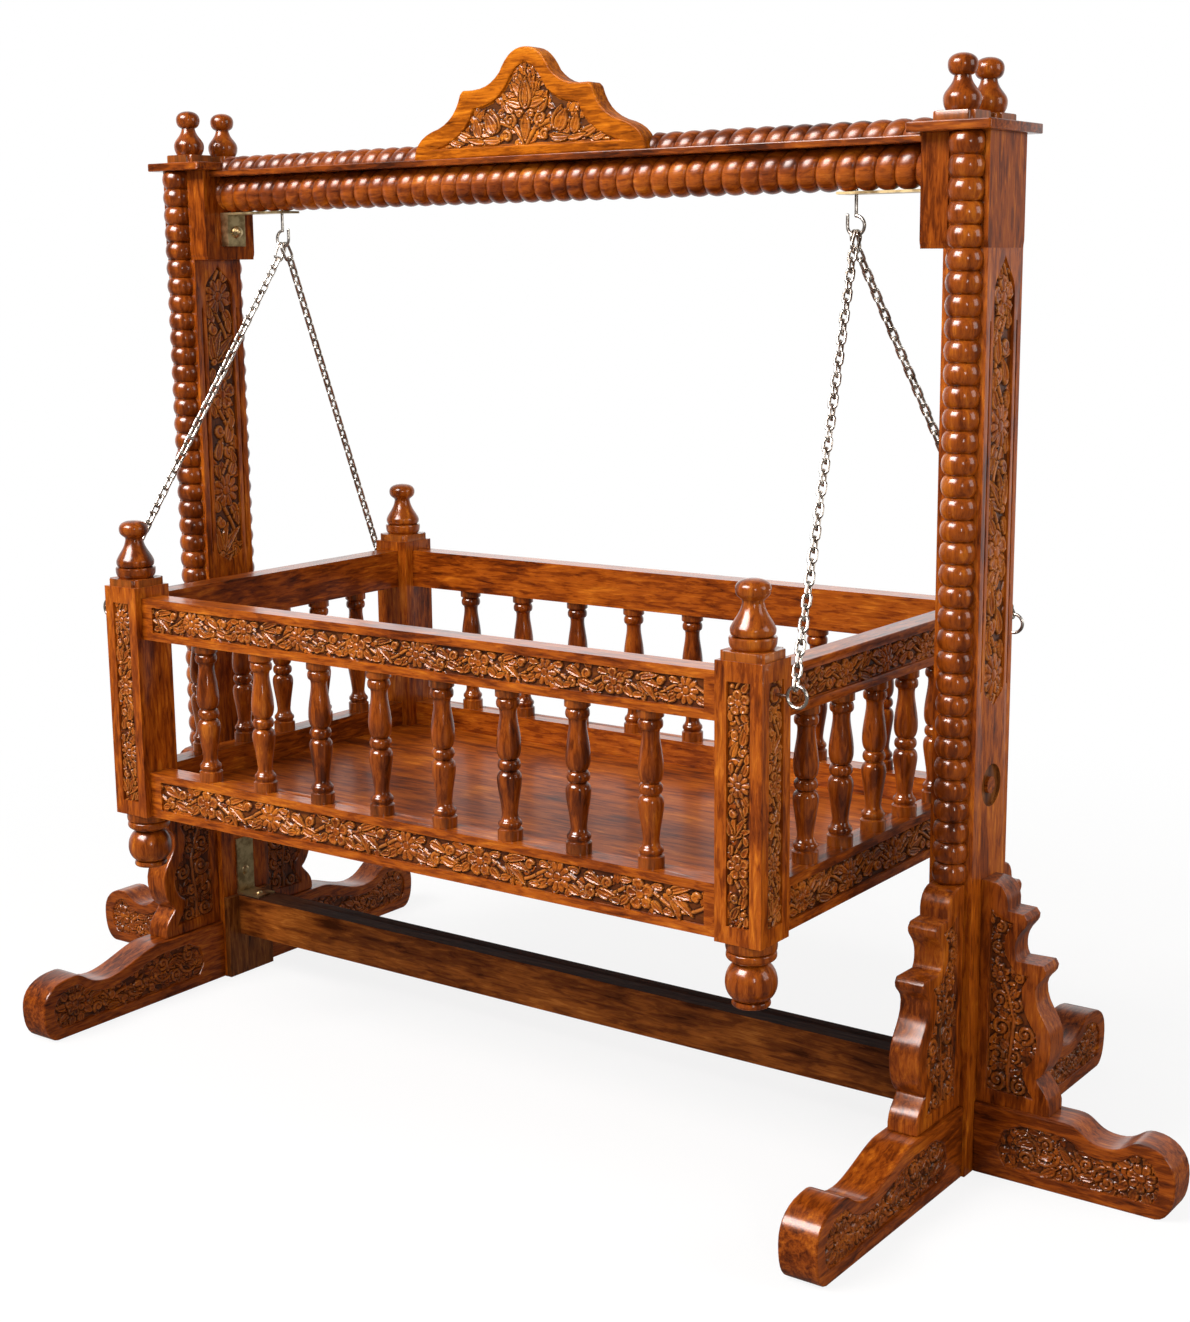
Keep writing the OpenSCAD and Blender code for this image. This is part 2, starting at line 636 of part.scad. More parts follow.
// A strap under the beam with a boxed leg down the head block, open below
module hanger_brackets() {
    strap_in = hook_x - strap_w / 2;
    color(brass) both_ends() difference() {
        union() {
            translate([strap_in, -strap_w / 2, strap_z]) cube([head_in - strap_in, strap_w, strap_t]);
            difference() {
                translate([head_in - leg_d, -strap_w / 2, strap_z - leg_h]) cube([leg_d, strap_w, leg_h]);
                translate([head_in - leg_d + strap_t, -strap_w / 2 + strap_t, strap_z - leg_h - 1])
                    cube([leg_d, strap_w - 2 * strap_t, leg_h + 1]);
            }
        }
        translate([hook_x, 0, strap_z - 1]) cylinder(r = hook_wire / 2 + fit, h = strap_t + 2);
        bolt_shafts(fit);
    }
}

module stretcher_brackets() {
    leg_w = min(strap_w, stretcher_t);
    color(brass) both_ends() difference() {
        translate([stand_gap / 2, 0, stretcher_top]) {
            translate([-strap_t, -strap_w / 2, 0]) cube([strap_t, strap_w, corner_rise]);
            translate([-corner_leg, -leg_w / 2, 0]) cube([corner_leg, leg_w, strap_t]);
        }
        bolt_shafts(fit);
    }
}

// A cup hook with its bowl open towards the middle of the beam
module hooks() {
    color(brass) both_ends() translate([hook_x, 0, pivot_z + bowl_r]) {
        rotate([90, 0, 0]) rotate([0, 0, 180]) rotate_extrude(angle = 270)
            translate([bowl_r, 0]) circle(d = hook_wire);
        translate([0, 0, bowl_r]) sphere(d = hook_wire);
        translate([0, 0, bowl_r]) cylinder(d = hook_wire, h = hook_shank + strap_t + rope_groove_r);
        translate([-bowl_r, 0, 0]) cylinder(d = hook_wire, h = hook_tip);
        translate([-bowl_r, 0, hook_tip]) sphere(d = hook_wire);
    }
}

// A link of the chain, hanging down from the middle of its upper wire
module link(length, width, wire) {
    side = length - width;
    translate([0, 0, -width / 2]) rotate([90, 0, 90]) {
        rotate_extrude(angle = 180) translate([width / 2, 0]) circle(d = wire);
        translate([0, -side, 0]) rotate([0, 0, 180])
            rotate_extrude(angle = 180) translate([width / 2, 0]) circle(d = wire);
        for (s = [-1, 1]) translate([s * width / 2, -side, 0]) rotate([-90, 0, 0])
            cylinder(d = wire, h = side);
    }
}

// Two on each hook, side by side: one leans to the front chain, one to the back chain
module top_links() {
    color(nickel) both_ends() for (f = [-1, 1])
        translate([hook_x - f * pair_x, 0, pivot_z]) rotate([f * splay, 0, 0])
            translate([0, 0, top_hold]) link(top_link_l, top_link_w, top_wire);
}

// The right end's chain down to its front eye, hung at the offset dx from the hook's middle
module chain(dx) {
    run_x = grip_x - hook_x - dx;
    run = norm([run_x, run_y, run_z]);
    pitch = (run + knee_hold + eye_hold - chain_wire - seat) / links;
    color(nickel) translate([hook_x + dx, -knee_y, knee_z])
        rotate([-atan2(run_y, run_z), 0, 0]) rotate([0, -asin(run_x / run), 0])
            for (k = [0:links - 1]) translate([0, 0, knee_hold - k * pitch]) rotate([0, 0, (k + 1) % 2 * 90])
                link(pitch + chain_wire + seat, link_w, chain_wire);
}

// ---- cradle ----

// The tenon of a rail that runs along X or along Y, at the right back corner post
module long_tenon(z, h, gap = 0) {
    translate([long_clear / 2 - 1, rail_y - rail_t / 2 + tenon_side - gap, z + tenon_edge - gap])
        cube([tenon_l + 1 + gap, rail_t - 2 * tenon_side + 2 * gap, h - 2 * tenon_edge + 2 * gap]);
}

module end_tenon(z, h, gap = 0) {
    translate([rail_x - rail_t / 2 + tenon_side - gap, end_clear / 2 - 1, z + tenon_edge - gap])
        cube([rail_t - 2 * tenon_side + 2 * gap, tenon_l + 1 + gap, h - 2 * tenon_edge + 2 * gap]);
}

// The right back corner post; the others are its mirror images
module corner_post() {
    field = corner_s - 2 * corner_rim;
    field_h = corner_h - corner_low - corner_high;
    color(wood) difference() {
        translate([corner_x, corner_y, cradle_z]) block([corner_s, corner_s, corner_h]);
        for (a = [0, 1]) translate([corner_x + a * corner_s / 2, corner_y + (1 - a) * corner_s / 2,
            cradle_z + corner_low]) block([field, field, field_h] - [a, 1 - a, 0] * (field - 2 * sink));
        long_tenon(top_rail_z, top_rail_h, fit);
        long_tenon(cradle_z, bottom_rail_h, fit);
        end_tenon(top_rail_z, top_rail_h, fit);
        end_tenon(cradle_z, bottom_rail_h, fit);
        translate([corner_x, corner_y, cradle_z - 1]) cylinder(r = dowel_r + fit, h = dowel_l + 1 + fit);
        translate([corner_x, corner_y, corner_top - dowel_l - fit])
            cylinder(r = dowel_r + fit, h = dowel_l + 1 + fit);
        eye_shank(fit);
        floor_slab(fit);
    }
}

// A rail at the back, with holes for its spindles' pegs from the height peg_z and a sunk panel outside
module long_rail(z, h, peg_z) {
    color(wood) difference() {
        union() {
            translate([0, rail_y, z]) block([long_clear, rail_t, h]);
            both_ends() long_tenon(z, h);
        }
        translate([0, rail_y + rail_t / 2, z + rail_rim]) block([long_clear - 40, 2 * sink, h - 2 * rail_rim]);
        for (x = places(long_clear, long_count)) translate([x, rail_y, peg_z])
            cylinder(r = peg_r + fit, h = peg_l + 1 + fit);
        floor_slab(fit);
    }
}

// The same at the right end
module end_rail(z, h, peg_z) {
    color(wood) difference() {
        union() {
            translate([rail_x, 0, z]) block([rail_t, end_clear, h]);
            both_faces() end_tenon(z, h);
        }
        translate([rail_x + rail_t / 2, 0, z + rail_rim]) block([2 * sink, end_clear - 40, h - 2 * rail_rim]);
        for (y = places(end_clear, end_count)) translate([rail_x, y, peg_z])
            cylinder(r = peg_r + fit, h = peg_l + 1 + fit);
        floor_slab(fit);
    }
}

module top_rail_long() {
    long_rail(top_rail_z, top_rail_h, top_rail_z - 1);
}

module top_rail_end() {
    end_rail(top_rail_z, top_rail_h, top_rail_z - 1);
}

module bottom_rail_long() {
    long_rail(cradle_z, bottom_rail_h, bottom_rail_top - peg_l - fit);
}

module bottom_rail_end() {
    end_rail(cradle_z, bottom_rail_h, bottom_rail_top - peg_l - fit);
}

function places(clear, count) = [for (i = [1:count]) clear * (i / (count + 1) - 0.5)];

module spindle() {
    turned(SPINDLE, spindle_r, spindle_h, [[-peg_l, peg_r, peg_l], [spindle_h, peg_r, peg_l]]);
}

module spindles_long() {
    color(wood) for (x = places(long_clear, long_count)) translate([x, rail_y, bottom_rail_top]) spindle();
}

module spindles_ends() {
    color(wood) both_ends() for (y = places(end_clear, end_count))
        translate([rail_x, y, bottom_rail_top]) spindle();
}

module floor_slab(gap = 0) {
    slab_x = 2 * (rail_x - rail_t / 2 + groove_d + gap);
    slab_y = 2 * (rail_y - rail_t / 2 + groove_d + gap);
    translate([0, 0, floor_z - gap]) block([slab_x, slab_y, floor_t + 2 * gap]);
}

module cradle_floor() {
    color(dark_wood) floor_slab();
}

module cradle_finials() {
    color(dark_wood) corners(corner_x, corner_y) {
        translate([0, 0, corner_top]) difference() {
            notched_plate(finial_plate_s, finial_plate_t);
            translate([0, 0, -1]) cylinder(r = dowel_r + fit, h = finial_plate_t + 2);
        }
        translate([0, 0, corner_top + finial_plate_t]) turned(FINIAL, finial_r, finial_h,
            [[-finial_plate_t - dowel_l, dowel_r, finial_plate_t + dowel_l]]);
    }
}

module bun_feet() {
    color(dark_wood) corners(corner_x, corner_y) translate([0, 0, cradle_z - bun_h])
        turned(BUN, bun_r, bun_h, [[bun_h, dowel_r, dowel_l]]);
}

module eye_shank(gap = 0) {
    translate([cradle_l / 2 - screw_l - gap, corner_y, eye_z]) rotate([0, 90, 0])
        cylinder(d = hook_wire + 2 * gap, h = screw_l + eye_stem + gap);
}

module eye_screws() {
    color(nickel) both_ends() both_faces() {
        eye_shank();
        translate([eye_x, corner_y, eye_z]) rotate([90, 0, 0])
            rotate_extrude() translate([eye_r, 0]) circle(d = hook_wire);
    }
}

// ---- placing: shapes are made for the right end and mirrored to the left, or front to back ----

module left() {
    mirror([1, 0, 0]) children();
}

module flip() {
    mirror([0, 1, 0]) children();
}

module both_ends() {
    children();
    left() children();
}

module both_faces() {
    children();
    flip() children();
}

left() post();  // post_left
post();  // post_right
left() head_block();  // head_block_left
head_block();  // head_block_right
left() base_block();  // base_block_left
base_block();  // base_block_right
left() cap();  // cap_left
cap();  // cap_right
left() on_side() side_foot();  // foot_side_left
on_side() side_foot();  // foot_side_right
left() on_side() side_bracket();  // bracket_side_left
on_side() side_bracket();  // bracket_side_right
left() column();  // column_front_left
column();  // column_front_right
left() flip() column();  // column_back_left
flip() column();  // column_back_right
left() on_front() long_foot();  // foot_front_left
on_front() long_foot();  // foot_front_right
left() flip() on_front() long_foot();  // foot_back_left
flip() on_front() long_foot();  // foot_back_right
left() on_front() long_bracket();  // bracket_front_left
on_front() long_bracket();  // bracket_front_right
left() flip() on_front() long_bracket();  // bracket_back_left
flip() on_front() long_bracket();  // bracket_back_right
stand_finials();
post_pegs();
beam_rope();
beam_board();
upper_rope();
crest();
stretcher();
hanger_brackets();
stretcher_brackets();
bracket_bolts();
hooks();
top_links();
left() chain(pair_x);  // chain_front_left
chain(pair_x);  // chain_front_right
left() flip() chain(-pair_x);  // chain_back_left
flip() chain(-pair_x);  // chain_back_right
left() flip() corner_post();  // corner_post_front_left
flip() corner_post();  // corner_post_front_right
left() corner_post();  // corner_post_back_left
corner_post();  // corner_post_back_right
flip() top_rail_long();  // top_rail_front
top_rail_long();  // top_rail_back
left() top_rail_end();  // top_rail_left
top_rail_end();  // top_rail_right
flip() bottom_rail_long();  // bottom_rail_front
bottom_rail_long();  // bottom_rail_back
left() bottom_rail_end();  // bottom_rail_left
bottom_rail_end();  // bottom_rail_right
flip() spindles_long();  // spindles_front
spindles_long();  // spindles_back
spindles_ends();
cradle_floor();
cradle_finials();
bun_feet();
eye_screws();
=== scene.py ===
import json
import math

import bmesh
import bpy
import numpy as np
from mathutils import Matrix, Vector

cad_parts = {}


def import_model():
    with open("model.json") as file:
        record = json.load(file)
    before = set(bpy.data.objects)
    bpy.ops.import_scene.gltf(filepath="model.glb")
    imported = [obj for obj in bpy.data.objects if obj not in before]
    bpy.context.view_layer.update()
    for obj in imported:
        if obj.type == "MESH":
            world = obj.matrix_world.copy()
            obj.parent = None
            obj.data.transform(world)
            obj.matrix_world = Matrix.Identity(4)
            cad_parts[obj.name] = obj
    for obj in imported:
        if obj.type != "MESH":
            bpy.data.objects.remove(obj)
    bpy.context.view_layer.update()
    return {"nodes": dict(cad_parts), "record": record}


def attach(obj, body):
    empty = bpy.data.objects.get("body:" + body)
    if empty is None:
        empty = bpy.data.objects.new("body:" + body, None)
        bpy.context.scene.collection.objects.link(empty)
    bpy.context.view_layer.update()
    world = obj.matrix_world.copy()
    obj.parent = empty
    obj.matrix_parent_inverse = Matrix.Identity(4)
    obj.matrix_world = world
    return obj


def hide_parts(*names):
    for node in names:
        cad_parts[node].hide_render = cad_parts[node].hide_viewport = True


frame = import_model()

MM = 0.001
rng = np.random.default_rng(7)      # draws the small leaves of each carved field, in the fields' order


# ---- materials

def bare_tree(owner, output):
    owner.use_nodes = True
    t = owner.node_tree
    t.nodes.clear()
    return t, t.nodes.new(output)


def principled(name):
    m = bpy.data.materials.new(name)
    t, out = bare_tree(m, "ShaderNodeOutputMaterial")
    bsdf = t.nodes.new("ShaderNodeBsdfPrincipled")
    t.links.new(bsdf.outputs[0], out.inputs[0])
    return m, t, bsdf


def math_node(t, op, a, b, clamp=False):
    n = t.nodes.new("ShaderNodeMath")
    n.operation = op
    n.use_clamp = clamp
    for i, v in enumerate((a, b)):
        if isinstance(v, (int, float)):
            n.inputs[i].default_value = v
        else:
            t.links.new(v, n.inputs[i])
    return n.outputs[0]


def plus(t, a, b):
    return math_node(t, "ADD", a, b)


def minus(t, a, b):
    return math_node(t, "SUBTRACT", a, b)


def times(t, a, b, clamp=False):
    return math_node(t, "MULTIPLY", a, b, clamp)


def weighted(t, a, share_a, b, share_b):
    return plus(t, times(t, a, share_a), times(t, b, share_b))


def noise(t, vec, scale, detail, rough, distort=0.0):
    n = t.nodes.new("ShaderNodeTexNoise")
    t.links.new(vec, n.inputs["Vector"])
    n.inputs["Scale"].default_value = scale
    n.inputs["Detail"].default_value = detail
    n.inputs["Roughness"].default_value = rough
    n.inputs["Distortion"].default_value = distort
    return n.outputs[0]


def ramp(t, fac, stops):
    n = t.nodes.new("ShaderNodeValToRGB")
    n.color_ramp.interpolation = "EASE"
    t.links.new(fac, n.inputs[0])
    els = n.color_ramp.elements
    while len(els) < len(stops):
        els.new(0.5)
    for e, (p, c) in zip(els, stops):
        e.position = p
        e.color = (*c, 1)
    return n.outputs[0]


def mix_rgb(t, fac, a, b, blend="MIX"):
    n = t.nodes.new("ShaderNodeMix")
    n.data_type = "RGBA"
    n.blend_type = blend
    for i, v in ((0, fac), (6, a), (7, b)):
        if isinstance(v, (int, float)):
            n.inputs[i].default_value = v
        elif isinstance(v, tuple):
            n.inputs[i].default_value = (*v, 1)
        else:
            t.links.new(v, n.inputs[i])
    return n.outputs[2]


def mapping(t, scale, offset, turn=(0, 0, 0)):
    tc = t.nodes.new("ShaderNodeTexCoord")
    m = t.nodes.new("ShaderNodeMapping")
    m.inputs["Location"].default_value = offset
    m.inputs["Rotation"].default_value = turn
    m.inputs["Scale"].default_value = scale
    t.links.new(tc.outputs["Object"], m.inputs["Vector"])
    return m.outputs[0]


def attribute(t, name):
    n = t.nodes.new("ShaderNodeAttribute")
    n.attribute_name = name
    return n.outputs["Fac"]


def add_bump(t, bsdf, height, strength, distance):
    n = t.nodes.new("ShaderNodeBump")
    n.inputs["Strength"].default_value = strength
    n.inputs["Distance"].default_value = distance
    t.links.new(height, n.inputs["Height"])
    t.links.new(n.outputs[0], bsdf.inputs["Normal"])


PAINTED_SHADE = (0.030, 0.007, 0.0014)       # painted shade in grooves, creases and on sunk grounds
RUBBED_AND_LIT = (0.55, 0.20, 0.036)          # rubbed ridges, lighter also as a painted highlight
TONES = {                           # from the dark streaks of the wood to its light ones
    "gold": [(0.34, (0.12, 0.026, 0.0018)), (0.44, (0.30, 0.070, 0.0035)),
             (0.53, (0.52, 0.137, 0.006)), (0.67, (0.74, 0.24, 0.013))],
    "warm": [(0.34, (0.080, 0.013, 0.0011)), (0.44, (0.22, 0.040, 0.0024)),
             (0.53, (0.39, 0.085, 0.0048)), (0.67, (0.61, 0.175, 0.012))],
    "rich": [(0.34, (0.042, 0.007, 0.001)), (0.44, (0.135, 0.024, 0.0018)),
             (0.54, (0.28, 0.057, 0.004)), (0.68, (0.48, 0.128, 0.009))],
    "bark": [(0.36, (0.06, 0.013, 0.002)), (0.46, (0.15, 0.037, 0.006)),
             (0.56, (0.28, 0.076, 0.011)), (0.68, (0.44, 0.14, 0.022))],
    "dusk": [(0.36, (0.035, 0.008, 0.002)), (0.46, (0.10, 0.027, 0.005)),
             (0.56, (0.18, 0.055, 0.010)), (0.68, (0.29, 0.10, 0.022))],
    # painted shade: the near-black tone for the stretcher's top, under the cradle
    "top_shade": [(0.36, (0.020, 0.006, 0.003)), (0.46, (0.036, 0.012, 0.006)),
             (0.56, (0.054, 0.021, 0.010)), (0.68, (0.085, 0.035, 0.017))]}


def wood(name, axis, stops, seed, figure=1.0, gloss=0.34, coat=0.45, spec=0.09, haze=0.17):
    """Lacquered, oil-stained hardwood with dark streaks along one axis.

    figure scales the streaks down. coat and haze are the lacquer's strength and blur.
    """
    m, t, bsdf = principled(name)
    off = (seed * 1.37, seed * 0.71, seed * 2.11)
    wide = mapping(t, [0.16 if a == axis else 1.0 for a in "xyz"], off, (0.03, 0.02, 0.05))
    fibre = mapping(t, [0.03 if a == axis else 1.0 for a in "xyz"], off)
    figure_n = noise(t, wide, 46 * figure, 5, 0.6, 1.3)
    streak_n = noise(t, wide, 190 * figure, 4, 0.62, 0.6)
    fibre_n = noise(t, fibre, 700, 3, 0.6)
    patch_n = noise(t, mapping(t, (1, 1, 1), off), 9, 3, 0.55)
    tone = plus(t, weighted(t, figure_n, 0.46, streak_n, 0.54), times(t, minus(t, patch_n, 0.5), 0.3))
    grain = ramp(t, fibre_n, [(0.36, (0.55, 0.46, 0.4)), (0.5, (1, 1, 1)), (0.75, (1, 1, 1))])
    col = mix_rgb(t, 0.6, ramp(t, tone, stops), grain, "MULTIPLY")
    # From the mesh's values: painted shade on low and creased parts, and a light rubbed tone on high edges
    # that is wear and painted highlight together.
    dark, rubbed_and_lit, fine = (attribute(t, key) for key in ("dark", "rubbed_and_lit", "fine"))
    col = mix_rgb(t, dark, mix_rgb(t, rubbed_and_lit, col, RUBBED_AND_LIT), PAINTED_SHADE)
    # Concave spots of turned and carved meshes get painted shade, convex ones a painted highlight with wear.
    shape = t.nodes.new("ShaderNodeNewGeometry").outputs["Pointiness"]
    ridge = times(t, minus(t, shape, 0.53), 5.0, True)
    groove = times(t, minus(t, 0.49, shape), 9.0, True)
    for edge, most, tint in ((ridge, 0.3, RUBBED_AND_LIT), (groove, 0.9, PAINTED_SHADE)):
        col = mix_rgb(t, times(t, times(t, edge, fine), most), col, tint)
    t.links.new(col, bsdf.inputs["Base Color"])
    rough = plus(t, plus(t, times(t, patch_n, 0.14), gloss - 0.06), times(t, dark, 0.35))
    t.links.new(rough, bsdf.inputs["Roughness"])
    bsdf.inputs["Coat Weight"].default_value = coat
    bsdf.inputs["Coat Roughness"].default_value = haze
    bsdf.inputs["Specular IOR Level"].default_value = spec
    bsdf.inputs["Specular Tint"].default_value = (1.0, 0.72, 0.5, 1)
    add_bump(t, bsdf, weighted(t, fibre_n, 0.6, streak_n, 0.6), 0.15, 0.0006)
    return m


WOODS = {}


def timber(axis, tone, seed, **finish):
    """The wood of that grain, tone and seed; its finish is settled where it is first asked for."""
    key = (axis, tone, seed)
    if key not in WOODS:
        WOODS[key] = wood(f"timber_{tone}_{axis}_{seed}", axis, TONES[tone], seed + 1, **finish)
    return WOODS[key]


def metal(name, base, stain, rough, seed, scale):
    m, t, bsdf = principled(name)
    v = mapping(t, (1, 1, 1), (seed, seed * 2, seed * 3))
    n = noise(t, v, scale, 5, 0.6)
    t.links.new(ramp(t, n, [(0.35, stain), (0.6, base)]), bsdf.inputs["Base Color"])
    t.links.new(plus(t, times(t, n, 0.22), rough - 0.1), bsdf.inputs["Roughness"])
    bsdf.inputs["Metallic"].default_value = 1.0
    add_bump(t, bsdf, noise(t, v, scale * 9, 3, 0.6), 0.1, 0.0003)
    return m


BRASS = metal("antique_brass", (0.62, 0.47, 0.24), (0.30, 0.20, 0.09), 0.34, 3.0, 60.0)
NICKEL = metal("nickel_chain", (0.66, 0.62, 0.56), (0.34, 0.29, 0.24), 0.24, 5.0, 45.0)


# ---- mesh helpers

def link(name, data):
    ob = bpy.data.objects.new(name, data)
    bpy.context.scene.collection.objects.link(ob)
    return ob


def give(me, key, values):
    """One number for each vertex, which the materials read by its name."""
    me.attributes.new(key, "FLOAT", "POINT").data.foreach_set("value", np.asarray(values, np.float32))


def paint(me, material):
    me.materials.clear()
    me.materials.append(material)
    for p in me.polygons:
        p.material_index = 0


def retone(ob, material, test):
    """A second material on the faces for which test(centre, normal) holds."""
    ob.data.materials.append(material)
    for p in ob.data.polygons:
        if test(p.center / MM, p.normal):
            p.material_index = 1


def place(name, me, material, body, replaces, smooth):
    paint(me, material)
    me.shade_smooth()
    me.set_sharp_from_angle(angle=math.radians(smooth))
    ob = link(name, me)
    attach(ob, body)
    if replaces:
        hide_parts(*replaces)
    return ob


def body_of_node(node):
    for b, members in frame["record"]["behaviour"]["bodies"].items():
        if node in members:
            return b


def turned(node, parts, material, smooth=50.0):
    """Turned pieces, each as vertices and faces in millimetres, in the CAD node's place."""
    verts, faces, base = [], [], 0
    for v, f in parts:
        verts.append(v)
        faces += [tuple(i + base for i in q) for q in f]
        base += len(v)
    name = f"turned_{node}"
    me = bpy.data.meshes.new(name)
    me.from_pydata([tuple(v) for v in np.concatenate(verts) * MM], [], faces)
    me.validate()
    # Full strength for the material's painted shade in grooves and painted highlight on ridges.
    give(me, "fine", np.ones(len(me.vertices)))
    return place(name, me, material, body_of_node(node), (node,), smooth)


def soften(node, material, width):
    """The CAD node's own shape with its edges eased, in its place."""
    src = frame["nodes"][node]
    bm = bmesh.new()
    bm.from_mesh(src.data)
    bmesh.ops.remove_doubles(bm, verts=bm.verts, dist=2e-6)
    bmesh.ops.dissolve_limit(bm, angle_limit=math.radians(0.4), verts=bm.verts, edges=bm.edges)
    me = bpy.data.meshes.new(node + "_eased")
    bm.to_mesh(me)
    bm.free()
    tmp = link(node + "_tmp", me)
    me.shade_smooth()
    mod = tmp.modifiers.new("edge", "BEVEL")
    mod.width = width * MM
    mod.segments = 2
    mod.limit_method = "ANGLE"
    mod.angle_limit = math.radians(38)
    deps = bpy.context.evaluated_depsgraph_get()
    out = bpy.data.meshes.new_from_object(tmp.evaluated_get(deps))
    bpy.data.objects.remove(tmp)
    out.name = node + "_eased"
    return place(node + "_eased", out, material, body_of_node(node), (node,), 22.0)


# ---- curves and outlines

def bezier(a, b, c, d, n):
    a, b, c, d = map(np.array, (a, b, c, d))
    return [tuple((1 - t) ** 3 * a + 3 * (1 - t) ** 2 * t * b + 3 * (1 - t) * t * t * c + t ** 3 * d)
            for t in (np.arange(1, n + 1) / n)]


def path(start, *runs, steps=8):
    """Points of an outline: a run of one point is a straight line, of three a curve."""
    pts = [tuple(start)]
    for r in runs:
        if len(r) == 3:
            pts += bezier(pts[-1], *r, steps)
        else:
            pts.append(tuple(r))
    return pts


def stretch(points, w, h):
    return [(p[0] * w, p[1] * h) for p in points]


def rect(u, v):
    """An oblong about the origin, of these half sizes."""
    return [(-u, -v), (u, -v), (u, v), (-u, v)]


def inside(poly, u, v):
    """Which of the points (u, v) lie inside a closed outline."""
    hit = np.zeros(u.shape, bool)
    n = len(poly)
    for i in range(n):
        (x0, y0), (x1, y1) = poly[i], poly[(i + 1) % n]
        if y0 == y1:
            continue
        cross = ((y0 > v) != (y1 > v)) & (u < (x1 - x0) * (v - y0) / (y1 - y0) + x0)
        hit ^= cross
    return hit


# ---- carving

DEPTH = 4.0          # depth of the sunk fields
TOP = 3.6            # height of the carving in them
LIFT = 0.12          # rise of the carved mesh over the CAD's ground
MARGIN = 2.0         # what a relief's grid has beyond its outline
STEP, FINE_STEP = ((1.2, 1.0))


def dome(d, low, high=1.0):
    """Height of a round form, from high in its middle to low at its edge, where d is 1."""
    return low + (high - low) * np.sqrt(np.clip(1 - d * d, 0, 1))


